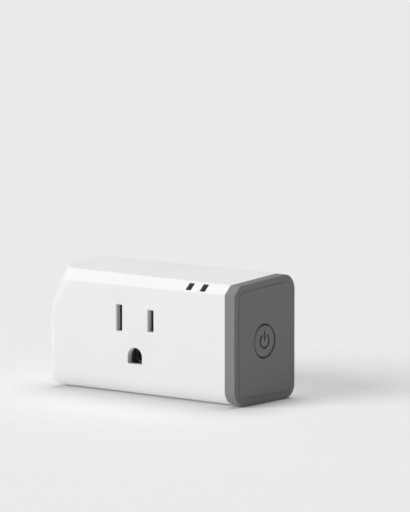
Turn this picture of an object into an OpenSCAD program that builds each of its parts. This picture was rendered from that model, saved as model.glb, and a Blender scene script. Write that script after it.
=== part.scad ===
// Smart plug: one grounded outlet in front, blades behind, a push button on the right-hand end.
// Frame: +X to the right, +Y into the wall, +Z up.
// The origin is midway between the two blades, on the face that meets the wall.

/* [Case] */
// Left end of the case
case_left = -39.9; // [-41:0.1:-39]
// Seam between the case and its end cap
seam_x = 31.85; // [31.5:0.05:33]
// Outer face of the end cap
cap_face_x = 35.8; // [35.4:0.1:37]
// Depth from the wall face to the front face
case_depth = 31.15; // [30.5:0.05:33]
// Height of the top face where it would meet the wall
top_back_z = 12.9; // [12.5:0.1:14]
// Height of the top face where it would meet the front
top_front_z = 11.15; // [11:0.05:11.6]
// Height of the underside at the back
bottom_back_z = -26.85; // [-28:0.05:-26.5]
// Height of the underside at the front
bottom_front_z = -26.45; // [-27.5:0.05:-26.2]
// Wall thickness of the case
wall = 2; // [1.6:0.1:2.2]

/* [Edges] */
// Radius of the top edge along the wall
top_back_r = 5.2; // [4.5:0.1:6]
// Radius of the bottom edge along the wall
bottom_back_r = 4; // [3.5:0.1:5]
// Radius of the bottom edge along the front
bottom_front_r = 4.8; // [4:0.1:5.5]
// Radius of the upright edge at the left of the front
left_edge_r = 2.5; // [2:0.1:3.5]
// Height at which the left edge starts to sweep back into the bevel
sweep_start_z = -1; // [-3:0.5:1]
// Radius of that sweep where it meets the foot of the bevel
sweep_r = 11; // [9:0.5:12]
// Foot of the bevel at the left end
bevel_foot_left_z = 8; // [7.5:0.1:8.2]
// Foot of the bevel at the right end
bevel_foot_right_z = 8.6; // [8.3:0.1:9]
// Distance from the wall to the bevel's top edge at the left end
bevel_top_left = 26.5; // [25.5:0.05:27]
// Distance from the wall to the bevel's top edge at the right end
bevel_top_right = 28.2; // [27:0.05:28.5]

/* [Outlet] */
// Middle of the outlet across the front
outlet_x = -4.24; // [-5:0.02:-3.5]
// Height of the middle of the two blade slots
outlet_z = -2.3; // [-3:0.1:-1.5]
// Spacing of the blades and of the slots
blade_pitch = 12.7; // [12.6:0.05:12.8]
// Distance of the ground pin below the blades
ground_drop = 11.9; // [11.8:0.05:12]
// Width of each blade slot
slot_width = 2.15; // [2:0.05:2.3]
// Height of the neutral slot
neutral_slot = 8.4; // [8.2:0.05:8.6]
// Height of the line slot
line_slot = 6.9; // [6.8:0.05:7.1]
// Radius of the rounded part of the ground opening
ground_slot_r = 2.8; // [2.6:0.05:2.9]

/* [Blades] */
// Thickness of the blades
blade_thickness = 1.5; // [1.4:0.05:1.6]
// How far the blades stand out behind the case
blade_length = 17; // [16:0.1:18]
// Height of the neutral blade
neutral_blade_height = 7.9; // [7.8:0.05:8]
// Height of the line blade
line_blade_height = 6.35; // [6.2:0.05:6.5]
// Radius of the ground pin
ground_pin_r = 2.38; // [2.3:0.02:2.4]
// How far the ground pin stands out behind the case
ground_pin_length = 21; // [20.6:0.1:21.6]

/* [Button] */
// Distance from the wall to the middle of the button
button_back = 15.6; // [15:0.1:16.2]
// Height of the middle of the button
button_z = -7.3; // [-8:0.1:-6.6]
// Radius of the button
button_r = 5.15; // [4.8:0.05:5.3]
// Gap all round the button
button_gap = 0.4; // [0.3:0.05:0.45]
// How far the button travels
button_travel = 0.4; // [0.3:0.05:0.45]

/* [Indicator windows] */
// Middle of the first window along the bevel
light_x = 16.9; // [16:0.1:17.2]
// Spacing of the two windows
light_pitch = 5.6; // [5.5:0.05:5.9]
// Width of a window
light_width = 2.1; // [1.9:0.1:2.3]
// Length of a window down the slope of the bevel
light_length = 3.2; // [2.8:0.1:3.4]

/* [Boards] */
// Face of the main board that carries the tall parts, from the wall
board_front = 10.5; // [10.3:0.1:10.8]
// Thickness of the main board
board_thickness = 1.6; // [1.4:0.1:1.8]
// Face of the radio board that carries the shield, from the wall
radio_front = 22; // [21.8:0.1:22.3]

/* [Relay] */
// Angle by which the armature stands open at rest
armature_open = 4; // [3:0.5:4]

/* [Hidden] */
$fn = 48;

white = "whitesmoke";
grey = [0.36, 0.36, 0.36];
dark = [0.16, 0.16, 0.17];
brass = [0.80, 0.66, 0.36];
nickel = [0.78, 0.78, 0.76];
copper = [0.75, 0.43, 0.25];
board_green = [0.10, 0.34, 0.20];

eps = 0.01;
front_y = -case_depth;
top_slope = (top_back_z - top_front_z) / case_depth;
top_angle = atan(top_slope);
bottom_slope = (bottom_front_z - bottom_back_z) / case_depth;
bevel_top_right_y = -bevel_top_right;
bevel_top_left_y = -bevel_top_left;
button_y = -button_back;
left_slot_x = outlet_x - blade_pitch / 2;
right_slot_x = outlet_x + blade_pitch / 2;
outlet_ground_z = outlet_z - ground_drop;
cover_thickness = 2.4;
cover_gap = 0.12;
screw_x = [-30.4, 26.5];
screw_z = [-18.8, 3.6];
boss_r = 2.6;
pin_collar_r = ground_pin_r + 0.4;
board_y = -board_front;
board_back_y = board_y + board_thickness;
radio_y = -radio_front;

// Height of the top face at a distance y in front of the wall (y is negative)
function top_z(y) = top_back_z + top_slope * y;
// Height of the underside at the same place
function bottom_z(y) = bottom_back_z - bottom_slope * y;
// Points of an arc about c, from angle a to angle b
function arc(c, r, a, b, n) = [for (i = [0:n]) c + r * [cos(a + (b - a) * i / n), sin(a + (b - a) * i / n)]];

// Pair of limits at a distance either side of a place
function around(middle, half) = [middle - half, middle + half];

// Box between the given limits
module block(x, y, z) {
  translate([x[0], y[0], z[0]])
    cube([x[1] - x[0], y[1] - y[0], z[1] - z[0]]);
}

// Round bars along each axis
module bar_x(x, y, z, r) {
  translate([x[0], y, z])
    rotate([0, 90, 0])
      cylinder(r = r, h = x[1] - x[0]);
}

module bar_y(x, y, z, r) {
  translate([x, y[1], z])
    rotate([90, 0, 0])
      cylinder(r = r, h = y[1] - y[0]);
}

module bar_z(x, y, z, r) {
  translate([x, y, z[0]])
    cylinder(r = r, h = z[1] - z[0]);
}

// Stands an outline drawn in Y and Z upright, between two places along X
module slab_x(x) {
  translate([x[0], 0, 0])
    rotate([90, 0, 90])
      linear_extrude(height = x[1] - x[0])
        children();
}

// ---- Case ----

// Outline of the right-hand end, in Y and Z: round behind, a bevel at the top of the front
module end_outline() {
  back_top = [-top_back_r, top_z(-top_back_r) - top_back_r];
  back_bottom = [-bottom_back_r, bottom_z(-bottom_back_r) + bottom_back_r];
  front_bottom = [front_y + bottom_front_r, bottom_z(front_y) + bottom_front_r];
  polygon(concat(
    arc(back_bottom, bottom_back_r, -90, 0, 10),
    arc(back_top, top_back_r, 0, 90, 12),
    [[bevel_top_right_y, top_z(bevel_top_right_y)]],
    [[front_y, bevel_foot_right_z]],
    arc(front_bottom, bottom_front_r, 180, 270, 12)
  ));
}

// Disc with a softened upper rim, lying in the plane of the top face
module soft_disc(centre, r, rim) {
  translate([centre[0], centre[1], centre[2] - rim])
    rotate([top_angle, 0, 0])
      for (a = [0:30:90])
        translate([0, 0, rim * sin(a)])
          cylinder(r = r - rim + rim * cos(a), h = eps);
}

// Rounded edge along the wall, set in by g, with a ball at its left end
module back_edge(right, r, z, g) {
  ball_gap = 0.6;
  bar_x([case_left + r + ball_gap, right - 1], -r, z, r - g);
  translate([case_left + r, -r, z])
    sphere(r = r - g);
}

// The whole outer form of the case, set in by g all over, from its left end to a place along X
module case_form(g, right) {
  foot_centre = [case_left + sweep_r, front_y + sweep_r, bevel_foot_left_z];
  top_left_r = 8;
  top_rim = 0.9;
  rim_r = max(top_rim - g, 0.4);
  top_centre_y = bevel_top_left_y + top_left_r;
  top_centre = [case_left + top_left_r, top_centre_y, top_z(top_centre_y)];
  left_bottom_r = 3.6;
  edge_x = case_left + left_edge_r;
  edge_y = front_y + left_edge_r;
  hull($fn = 40) {
    slab_x([right - 0.5, right])
      offset(delta = -g)
        end_outline();
    // Back edges, each ending in a ball at the left
    back_edge(right, top_back_r, top_z(-top_back_r) - top_back_r, g);
    back_edge(right, bottom_back_r, bottom_z(-bottom_back_r) + bottom_back_r, g);
    // Left end of the top face, in front of the upper ball
    translate([case_left + g + rim_r, -2 * top_back_r, top_z(-2 * top_back_r) - g - rim_r])
      sphere(r = rim_r, $fn = 24);
    // Bottom of the front
    translate([case_left + left_bottom_r, front_y + left_bottom_r, bottom_front_z + left_bottom_r])
      sphere(r = left_bottom_r - g);
    // Upright left edge, then the sweep that grows up to the foot of the bevel
    bar_z(edge_x, edge_y, [-20, sweep_start_z], max(left_edge_r - g, 0.5));
    translate(foot_centre - [0, 0, g])
      cylinder(r = sweep_r - g, h = eps, $fn = 96);
    // Left end of the top face
    soft_disc(top_centre - [0, 0, g], top_left_r - g, top_rim, $fn = 96);
  }
}

// Middle of the bevel at a place along X, as [y, z], and its slope
function bevel_share(x) = (x - case_left) / (seam_x - case_left);
function bevel_foot_z(x) = bevel_foot_left_z + (bevel_foot_right_z - bevel_foot_left_z) * bevel_share(x);
function bevel_top_y(x) = bevel_top_left_y + (bevel_top_right_y - bevel_top_left_y) * bevel_share(x);
function bevel_mid(x) = [(front_y + bevel_top_y(x)) / 2, (bevel_foot_z(x) + top_z(bevel_top_y(x))) / 2];
function bevel_angle(x) = atan((top_z(bevel_top_y(x)) - bevel_foot_z(x)) / (bevel_top_y(x) - front_y));

// Prism that stands square on the bevel, between two depths below its surface
module bevel_prism(x, width, length, depth) {
  m = bevel_mid(x);
  translate([x, m[0], m[1]])
    rotate([bevel_angle(x), 0, 0])
      block([-width / 2, width / 2], [-length / 2, length / 2], [-depth[1], -depth[0]]);
}

// Blade slot and ground opening, drawn in X and Z and cut along Y
module outlet_openings(grow, y) {
  flat_drop = 2.35;
  translate([0, y[1], 0])
    rotate([90, 0, 0])
      linear_extrude(height = y[1] - y[0]) {
        translate([left_slot_x, outlet_z])
          square([slot_width + 2 * grow, neutral_slot + 2 * grow], center = true);
        translate([right_slot_x, outlet_z])
          square([slot_width + 2 * grow, line_slot + 2 * grow], center = true);
        intersection() {
          translate([outlet_x, outlet_ground_z])
            circle(r = ground_slot_r + grow);
          translate([outlet_x, outlet_ground_z + ground_slot_r / 2])
            square([2 * ground_slot_r + 2 * grow, 2 * flat_drop + ground_slot_r + 2 * grow], center = true);
        }
        translate([outlet_x, outlet_ground_z - flat_drop / 2])
          square([2 * ground_slot_r + 2 * grow, flat_drop + 2 * grow], center = true);
      }
}

// Opening in the back of the case that the rear cover closes, set in by g
module back_opening(g, y) {
  corner = 3;
  left = -33.7 + g;
  right = 29.6 - g;
  low = -21.9 + g;
  high = 6.7 - g;
  translate([0, y[1], 0])
    rotate([90, 0, 0])
      linear_extrude(height = y[1] - y[0])
        polygon(concat(
          arc([left + corner, low + corner], corner, 180, 270, 8),
          arc([right - corner, low + corner], corner, 270, 360, 8),
          arc([right - corner, high - corner], corner, 0, 90, 8),
          arc([left + corner, high - corner], corner, 90, 180, 8)
        ));
}

module front_housing() {
  pilot_r = 1;
  pilot_depth = 12;
  boss_start_y = front_y + wall / 2;
  color(white)
    difference() {
      union() {
        difference() {
          case_form(0, seam_x);
          case_form(wall, seam_x + 3);
          back_opening(0, [-wall - 1, 1]);
        }
        for (x = screw_x, z = screw_z)
          bar_y(x, [boss_start_y, -cover_thickness], z, boss_r);
      }
      outlet_openings(0, [front_y - 1, front_y + wall + 1]);
      for (i = [0, 1])
        bevel_prism(light_x + i * light_pitch, light_width, light_length, [-2, wall + 2]);
      for (x = screw_x, z = screw_z)
        bar_y(x, [-cover_thickness - pilot_depth, 0], z, pilot_r);
    }
}

module rear_cover() {
  head_r = 2.5;
  head_depth = 1.3;
  shank_r = 1.5;
  slot_gap = 0.15;
  color(white)
    difference() {
      back_opening(cover_gap, [-cover_thickness, 0]);
      for (x = screw_x, z = screw_z) {
        bar_y(x, [-head_depth, 1], z, head_r);
        bar_y(x, [-cover_thickness - 1, 1], z, shank_r);
      }
      for (b = [[-1, neutral_blade_height], [1, line_blade_height]])
        block(
          around(b[0] * blade_pitch / 2, blade_thickness / 2 + slot_gap),
          [-cover_thickness - 1, 1],
          [-1, 1] * (b[1] / 2 + slot_gap)
        );
      bar_y(0, [-cover_thickness - 1, 1], -ground_drop, pin_collar_r + slot_gap);
    }
}

// Grey cap that closes the right-hand end, with a raised panel around the button
module end_cap() {
  edge = 0.6;
  rim_x = cap_face_x - 0.35;
  panel_inset = 2.3;
  groove = 0.3;
  plate = 2;
  lip_gap = 0.15;
  lip_wall = 1.2;
  lip_length = 2;
  hollow_x = cap_face_x - plate;
  color(grey)
    difference() {
      union() {
        hull() {
          slab_x([seam_x, rim_x - edge])
            end_outline();
          slab_x([rim_x - edge, rim_x - edge * 0.3])
            offset(delta = -edge * 0.3)
              end_outline();
          slab_x([rim_x - edge, rim_x])
            offset(delta = -edge)
              end_outline();
        }
        slab_x([rim_x - eps, cap_face_x])
          offset(delta = -panel_inset)
            end_outline();
        slab_x([seam_x - lip_length, seam_x + eps])
          offset(delta = -wall - lip_gap)
            end_outline();
      }
      // Fine groove around the panel
      slab_x([rim_x - groove, rim_x + groove])
        difference() {
          offset(delta = groove - panel_inset)
            end_outline();
          offset(delta = -panel_inset)
            end_outline();
        }
      slab_x([seam_x - lip_length - 1, hollow_x])
        offset(delta = -wall - lip_gap - lip_wall)
          end_outline();
      bar_x([hollow_x - 1, cap_face_x + 1], button_y, button_z, button_r + button_gap);
    }
}

// Round button with an engraved power sign, a flange behind the cap and a stem to the switch
module power_button() {
  face_x = cap_face_x - 0.1;
  plate = 2;
  flange_gap = 0.3;
  flange_r = button_r + 1.2;
  flange_x = cap_face_x - plate - flange_gap;
  flange_thickness = 0.8;
  stem_r = 1.5;
  stem_end = 32.25;
  sign_r = 2.2;
  sign_line = 0.55;
  sign_depth = 0.3;
  sign_open = 38;
  stroke_top = 2.9;
  stroke_bottom = 0.4;
  color(grey)
    difference() {
      union() {
        bar_x([flange_x - eps, face_x], button_y, button_z, button_r);
        bar_x([flange_x - flange_thickness, flange_x], button_y, button_z, flange_r);
        bar_x([stem_end, flange_x], button_y, button_z, stem_r);
      }
      translate([face_x - sign_depth, button_y, button_z])
        rotate([90, 0, 90])
          linear_extrude(height = sign_depth + 1) {
            polygon(concat(
              arc([0, 0], sign_r + sign_line / 2, 90 + sign_open, 450 - sign_open, 40),
              arc([0, 0], sign_r - sign_line / 2, 450 - sign_open, 90 + sign_open, 40)
            ));
            translate([-sign_line / 2, stroke_bottom])
              square([sign_line, stroke_top - stroke_bottom]);
          }
    }
}

// Clear guide that carries light from the radio board up to a window in the bevel
module light_guide(x) {
  recess = 0.25;
  play = 0.08;
  elbow_z = [6.3, 8.3];
  elbow_y = [-27.3, radio_y - 0.9];
  color([0.85, 0.87, 0.88])
    union() {
      bevel_prism(x, light_width - 2 * play, light_length - 2 * play, [recess, 3.4]);
      block(around(x, light_width / 2 - play), elbow_y, elbow_z);
    }
}

module light_guide_left() light_guide(light_x);

module light_guide_right() light_guide(light_x + light_pitch);

// Four pan-head screws that hold the rear cover to the case
module cover_screws() {
  head_r = 2.2;
  head_back = -0.25;
  head_seat = -1.3;
  thread_r = 0.98;
  thread_length = 9;
  cross_depth = 0.6;
  cross_width = 0.6;
  cross_length = 2.4;
  color(nickel)
    for (x = screw_x, z = screw_z)
      difference() {
        union() {
          bar_y(x, [head_seat, head_back], z, head_r);
          bar_y(x, [head_seat - thread_length, head_seat + eps], z, thread_r);
        }
        for (w = [[cross_length, cross_width], [cross_width, cross_length]])
          block(around(x, w[0] / 2), [head_back - cross_depth, 1], around(z, w[1] / 2));
      }
}

// ---- Blades and their holder ----

// Flat blade: rounded tip, a shoulder behind the rear cover and a tail through the main board
module blade(x, height) {
  shoulder = 1;
  shoulder_reach = 1.6;
  tail_height = 3;
  tail_end = board_y - 0.9;
  tip_cut = 1.4;
  hole_r = 1.5;
  hole_y = blade_length - 4.5;
  half = height / 2;
  color(brass)
    difference() {
      translate([x - blade_thickness / 2, 0, 0])
        rotate([90, 0, 90])
          linear_extrude(height = blade_thickness)
            polygon([
              [-cover_thickness, -half - shoulder_reach],
              [-cover_thickness, -half],
              [blade_length - tip_cut, -half],
              [blade_length, -half + tip_cut],
              [blade_length, half - tip_cut],
              [blade_length - tip_cut, half],
              [-cover_thickness, half],
              [-cover_thickness, half + shoulder_reach],
              [-cover_thickness - shoulder, half + shoulder_reach],
              [-cover_thickness - shoulder, tail_height / 2],
              [tail_end, tail_height / 2],
              [tail_end, -tail_height / 2],
              [-cover_thickness - shoulder, -tail_height / 2],
              [-cover_thickness - shoulder, -half - shoulder_reach]
            ]);
      bar_x(around(x, 2), hole_y, 0, hole_r);
    }
}

module line_blade() blade(blade_pitch / 2, line_blade_height);

module neutral_blade() blade(-blade_pitch / 2, neutral_blade_height);

// Round ground pin with a domed tip, a collar in the rear cover, a flange behind it and a tail
module ground_pin() {
  flange_r = 3.6;
  flange = 1;
  tail_r = 1;
  tail_end = board_y - 3.1;
  color(brass)
    translate([0, 0, -ground_drop])
      rotate([-90, 0, 0])
        rotate_extrude()
          polygon(concat(
            [[0, tail_end]],
            [[tail_r, tail_end]],
            [[tail_r, -cover_thickness - flange]],
            [[flange_r, -cover_thickness - flange]],
            [[flange_r, -cover_thickness]],
            [[pin_collar_r, -cover_thickness]],
            [[pin_collar_r, 0]],
            [[ground_pin_r, 0]],
            arc([0, ground_pin_length - ground_pin_r], ground_pin_r, 0, 90, 10)
          ));
}

// Insulating block that clamps the blades' shoulders against the rear cover
module blade_holder() {
  half_width = 11.5;
  low = -17.5;
  high = 7.2;
  rim = 1.2;
  front = -6.4;
  seat = -cover_thickness - 1;
  tail_gap = 0.2;
  tail_height = 3;
  tail_r = 1;
  color(dark)
    difference() {
      block([-half_width, half_width], [front, -cover_thickness], [low, high]);
      block([-1, 1] * (half_width - rim), [seat, 0], [low + rim, high - rim]);
      for (s = [-1, 1])
        block(
          around(s * blade_pitch / 2, blade_thickness / 2 + tail_gap),
          [front - 1, 0],
          [-1, 1] * (tail_height / 2 + tail_gap)
        );
      bar_y(0, [front - 1, 0], -ground_drop, tail_r + tail_gap);
    }
}

// ---- Outlet ----

// Insulating carrier behind the front face that holds the three contacts
module contact_carrier() {
  side = 10.6;
  low = -18.6;
  high = 3.4;
  front = front_y + wall + 0.1;
  back = -14.6;
  pocket_front = front + 1.4;
  pocket_half = 2.3;
  pocket_height = 8.2;
  lead = 0.3;
  ground_pocket_r = 3.3;
  color(dark)
    difference() {
      block(around(outlet_x, side), [front, back], [low, high]);
      outlet_openings(lead, [front - 1, pocket_front + 1]);
      for (x = [left_slot_x, right_slot_x])
        block(around(x, pocket_half), [pocket_front, back + 1], around(outlet_z, pocket_height / 2));
      bar_y(outlet_x, [pocket_front, back + 1], outlet_ground_z, ground_pocket_r);
    }
}

// Folded strip whose two leaves grip a blade, with a tail through the main board
module blade_contact(x) {
  strip = 0.6;
  height = 6.2;
  back = -14.2;
  mouth = -26.6;
  throat = -22.6;
  open = 1.6;
  grip = 0.6;
  tail_height = 2.4;
  tail_end = board_y + board_thickness + 0.6;
  leaf = [
    [open, back], [open, back - 4], [grip, throat], [open, mouth],
    [open + strip, mouth], [grip + strip, throat], [open + strip, back - 4], [open + strip, back]
  ];
  color(brass)
    translate([x, 0, outlet_z])
      union() {
        translate([0, 0, -height / 2])
          linear_extrude(height = height) {
            polygon(leaf);
            mirror([1, 0])
              polygon(leaf);
            translate([-open - strip, back - eps])
              square([2 * (open + strip), strip]);
          }
        block([-1, 1] * strip / 2, [back, tail_end], [-1, 1] * tail_height / 2);
      }
}

module line_contact() blade_contact(right_slot_x);

module neutral_contact() blade_contact(left_slot_x);

// Split sleeve that grips a ground pin
module ground_contact() {
  inner_r = 2.3;
  outer_r = 2.9;
  mouth = -27;
  back = -14.2;
  slit = 1;
  end_wall = 0.6;
  color(brass)
    difference() {
      bar_y(outlet_x, [mouth, back + end_wall], outlet_ground_z, outer_r);
      bar_y(outlet_x, [mouth - 1, back], outlet_ground_z, inner_r);
      block(around(outlet_x, slit / 2), [mouth - 1, back - 2], [outlet_ground_z - 4, outlet_ground_z]);
    }
}

// Heavy strip that joins the ground pin's tail to the ground contact
module ground_strap() {
  half = 2.2;
  y = [-13.6, -12.7];
  rivet_r = 1.05;
  color(brass)
    difference() {
      union() {
        block([outlet_x, 0], y, [outlet_ground_z - half, outlet_ground_z + half]);
        bar_y(0, y, -ground_drop, half);
        block([-half, half], y, [outlet_ground_z, -ground_drop]);
      }
      bar_y(0, [y[0] - 1, y[1] + 1], -ground_drop, rivet_r);
    }
}

// ---- Main board and power parts ----

module main_board() {
  left = -36.4;
  right = 28.6;
  low = -23.6;
  high = 8.4;
  clear = 0.3;
  y = [board_y, board_back_y];
  through = [board_y - 1, board_back_y + 1];
  blade_tail = 3;
  contact_tail = 2.4;
  ground_tail_r = 1;
  color(board_green)
    difference() {
      block([left, right], y, [low, high]);
      for (x = screw_x, z = screw_z)
        bar_y(x, through, z, boss_r + clear);
      for (s = [-1, 1])
        block(
          around(s * blade_pitch / 2, blade_thickness / 2 + clear),
          through,
          [-1, 1] * (blade_tail / 2 + clear)
        );
      for (x = [left_slot_x, right_slot_x])
        block(around(x, 0.3 + clear), through, around(outlet_z, contact_tail / 2 + clear));
      bar_y(0, through, -ground_drop, ground_tail_r + clear);
    }
}

relay_x = -36.2;
relay_z = -15.1;
relay_length = 19;
relay_width = 15.4;
relay_height = 15.5;
relay_wall = 0.8;
relay_mid_z = relay_width / 2;
coil_x = 10;
yoke_x = 16.4;
pole_top = 11.9;
hinge_x = 17;
armature_thickness = 0.8;

// Puts a relay part in place: its own +Z is up from the board
module on_relay() {
  translate([relay_x, board_y, relay_z])
    rotate([90, 0, 0])
      children();
}

// Box in the relay's own frame: along, across, up
module relay_block(along, across, up) {
  block(along, across, up);
}

module relay_base() {
  inset = 0.9;
  pin_r = 0.5;
  pin_length = 3;
  color(dark)
    on_relay()
      union() {
        relay_block([inset, relay_length - inset], [inset, relay_width - inset], [0.2, 2.9]);
        for (across = [2.6, relay_width - 2.6])
          translate([relay_length - 2.6, across, -pin_length + 0.2])
            cylinder(r = pin_r, h = pin_length + eps);
      }
}

module relay_cover() {
  floor_gap = 0.2;
  color([0.20, 0.36, 0.62])
    on_relay()
      difference() {
        relay_block([0, relay_length], [0, relay_width], [floor_gap, relay_height]);
        relay_block(
          [relay_wall, relay_length - relay_wall],
          [relay_wall, relay_width - relay_wall],
          [-1, relay_height - relay_wall]
        );
      }
}

module relay_bobbin() {
  half = 5.2;
  tube_r = 3.2;
  core_hole_r = 2.3;
  flange = 0.7;
  low = 4;
  high = 11.3;
  color(white)
    on_relay()
      difference() {
        union() {
          for (z = [low, high - flange])
            relay_block(around(coil_x, half), around(relay_mid_z, half), [z, z + flange]);
          translate([coil_x, relay_mid_z, low])
            cylinder(r = tube_r, h = high - low);
        }
        translate([coil_x, relay_mid_z, low - 1])
          cylinder(r = core_hole_r, h = high - low + 2);
      }
}

module relay_winding() {
  inner_r = 3.25;
  outer_r = 5;
  low = 4.75;
  high = 10.55;
  color(copper)
    on_relay()
      translate([coil_x, relay_mid_z, low])
        difference() {
          cylinder(r = outer_r, h = high - low);
          translate([0, 0, -1])
            cylinder(r = inner_r, h = high - low + 2);
        }
}

module relay_core() {
  core_r = 2.2;
  pole_r = 3;
  low = 4;
  pole_low = 11.35;
  color(nickel)
    on_relay()
      translate([coil_x, relay_mid_z, 0])
        union() {
          translate([0, 0, low])
            cylinder(r = core_r, h = pole_low - low + eps);
          translate([0, 0, pole_low])
            cylinder(r = pole_r, h = pole_top - pole_low);
        }
}

// L-shaped iron frame: a foot under the coil and an upright beside it
module relay_yoke() {
  thickness = 1;
  foot_start = 6;
  low = 2.95;
  across = [3.2, 12.2];
  color(nickel)
    on_relay()
      union() {
        relay_block([foot_start, yoke_x + thickness], across, [low, low + thickness]);
        relay_block([yoke_x, yoke_x + thickness], across, [low, pole_top - 0.1]);
      }
}

// Turns an armature part open about the top edge of the yoke
module stood_open() {
  on_relay()
    translate([hinge_x, 0, pole_top])
      rotate([0, armature_open, 0])
        translate([-hinge_x, 0, -pole_top])
          children();
}

module relay_armature() {
  free_end = 5.6;
  air_gap = 0.06;
  across = [3.4, 12];
  low = pole_top + air_gap;
  color(nickel)
    stood_open()
      relay_block([free_end, hinge_x + 0.2], across, [low, low + armature_thickness]);
}

module relay_contact_arm() {
  tip = 1.7;
  root = 15;
  thickness = 0.25;
  across = [5.6, 9.8];
  low = pole_top + 0.06 + armature_thickness;
  contact_x = 2.8;
  contact_r = 1.1;
  contact_height = 0.5;
  color(copper)
    stood_open()
      union() {
        relay_block([tip, root], across, [low, low + thickness]);
        translate([contact_x, relay_mid_z, low - contact_height])
          cylinder(r = contact_r, h = contact_height + eps);
      }
}

module relay_fixed_contact() {
  strip = 0.35;
  post_x = 1;
  across = [6, 9.4];
  tab_end = 3.9;
  tab_top = 11.55;
  contact_x = 2.8;
  contact_r = 1.1;
  contact_height = 0.6;
  color(copper)
    on_relay()
      union() {
        relay_block([post_x, post_x + strip], across, [2.9, tab_top]);
        relay_block([post_x, tab_end], across, [tab_top - strip, tab_top]);
        translate([contact_x, relay_mid_z, tab_top - eps])
          cylinder(r = contact_r, h = contact_height);
      }
}

// Fuse lying along the bottom of the board
module fuse() {
  x = [-27.4, -19.4];
  body_r = 1.7;
  cap_r = 1.85;
  cap_length = 1.5;
  y = board_y - 2.2;
  z = -20.4;
  lead_r = 0.4;
  color([0.72, 0.60, 0.44])
    union() {
      bar_x(x, y, z, body_r);
      for (start = [x[0], x[1] - cap_length])
        bar_x([start, start + cap_length], y, z, cap_r);
      for (lead_x = [x[0] + 0.75, x[1] - 0.75])
        bar_y(lead_x, [y, board_y + 1], z, lead_r);
    }
}

// Disc varistor standing above the outlet
module varistor() {
  x = -8;
  r = 5;
  y = board_y - 6.2;
  z = [4.2, 8];
  lead_r = 0.4;
  color([0.13, 0.28, 0.55])
    union() {
      bar_z(x, y, z, r);
      for (s = [-1, 1])
        bar_y(x + s * 2.5, [y, board_y + 1], z[0] + 1 + (s + 1) * 0.9, lead_r);
    }
}

module safety_capacitor() {
  color([0.80, 0.72, 0.25])
    block([-12, 1.4], [board_y - 11, board_y - 0.1], [-24.2, -19]);
}

capacitor_x = [13.2, 21.4];
capacitor_z = -4.6;
capacitor_r = 3.9;
capacitor_height = 9;

module capacitor_sleeves() {
  foot_gap = 0.3;
  sleeve = 0.25;
  color([0.12, 0.14, 0.24])
    for (x = capacitor_x)
      difference() {
        bar_y(x, [board_y - capacitor_height, board_y - foot_gap], capacitor_z, capacitor_r);
        bar_y(x, [board_y - capacitor_height - 1, board_y - foot_gap - sleeve], capacitor_z, capacitor_r - sleeve);
      }
}

// Aluminium cans inside the sleeves
module capacitor_tops() {
  play = 0.3;
  can_front = board_y - capacitor_height + 0.1;
  color(nickel)
    for (x = capacitor_x)
      bar_y(x, [can_front, board_y - 0.6], capacitor_z, capacitor_r - play);
}

transformer_mid_x = 16.2;
transformer_mid_z = -17.2;

// Ferrite frame around the bobbin, with a middle leg
module transformer_core() {
  half_x = 6.4;
  half_z = 2.4;
  leg = 1.5;
  middle_half = 1.6;
  y = [board_y - 13, board_y - 1.6];
  color([0.20, 0.20, 0.21])
    difference() {
      block(around(transformer_mid_x, half_x), y, around(transformer_mid_z, half_z));
      for (s = [-1, 1])
        block(
          around(transformer_mid_x + s * (half_x + middle_half - leg) / 2, (half_x - leg - middle_half) / 2),
          [y[0] + leg, y[1] - leg],
          around(transformer_mid_z, half_z + 1)
        );
    }
}

module transformer_bobbin() {
  half_x = 4.75;
  half_z = 5.2;
  core_gap = 0.1;
  flange = 0.7;
  y = [board_y - 11.4, board_y - 3.2];
  middle_x = 1.6 + core_gap;
  middle_z = 2.4 + core_gap;
  tube = 0.6;
  color(dark)
    difference() {
      union() {
        for (start = [y[0], y[1] - flange])
          block(
            around(transformer_mid_x, half_x),
            [start, start + flange],
            around(transformer_mid_z, half_z)
          );
        block(
          around(transformer_mid_x, middle_x + tube),
          y,
          around(transformer_mid_z, middle_z + tube)
        );
      }
      block(
        around(transformer_mid_x, middle_x),
        [y[0] - 1, y[1] + 1],
        around(transformer_mid_z, middle_z)
      );
    }
}

module transformer_winding() {
  inner_x = 2.4;
  inner_z = 3.2;
  outer_x = 4.5;
  outer_z = 4.9;
  y = [board_y - 10.6, board_y - 4];
  color([0.86, 0.76, 0.30])
    difference() {
      block(around(transformer_mid_x, outer_x), y, around(transformer_mid_z, outer_z));
      block(
        around(transformer_mid_x, inner_x),
        [y[0] - 1, y[1] + 1],
        around(transformer_mid_z, inner_z)
      );
    }
}

// Flat moulded chip on the back of the main board, with a row of feet on two sides
module surface_chip(x, z, size, feet) {
  height = 1.8;
  foot = 0.5;
  pitch = 1.27;
  reach = 0.9;
  color(dark)
    union() {
      block(around(x, size[0] / 2), [board_back_y + 0.1, board_back_y + height], around(z, size[1] / 2));
      for (i = [0:feet - 1], s = [-1, 1])
        block(
          around(x + (i - (feet - 1) / 2) * pitch, foot / 2),
          [board_back_y + 0.02, board_back_y + 0.3],
          around(z + s * size[1] / 2, reach)
        );
    }
}

module rectifier() surface_chip(18, -18, [4.7, 3.9], 2);

module power_chip() surface_chip(18, -8, [5, 4], 4);

// ---- Radio and button boards ----

module radio_board() {
  thickness = 0.8;
  color([0.08, 0.09, 0.10])
    block([8.6, 23.5], [radio_y, radio_y + thickness], [-9.4, 8.7]);
}

module radio_shield() {
  can_wall = 0.3;
  x = [9.6, 22.4];
  z = [-8.6, 0.8];
  y = [radio_y - 2.2, radio_y - 0.02];
  color(nickel)
    difference() {
      block(x, y, z);
      block(
        [x[0] + can_wall, x[1] - can_wall],
        [y[0] + can_wall, y[1] + 1],
        [z[0] + can_wall, z[1] - can_wall]
      );
    }
}

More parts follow.
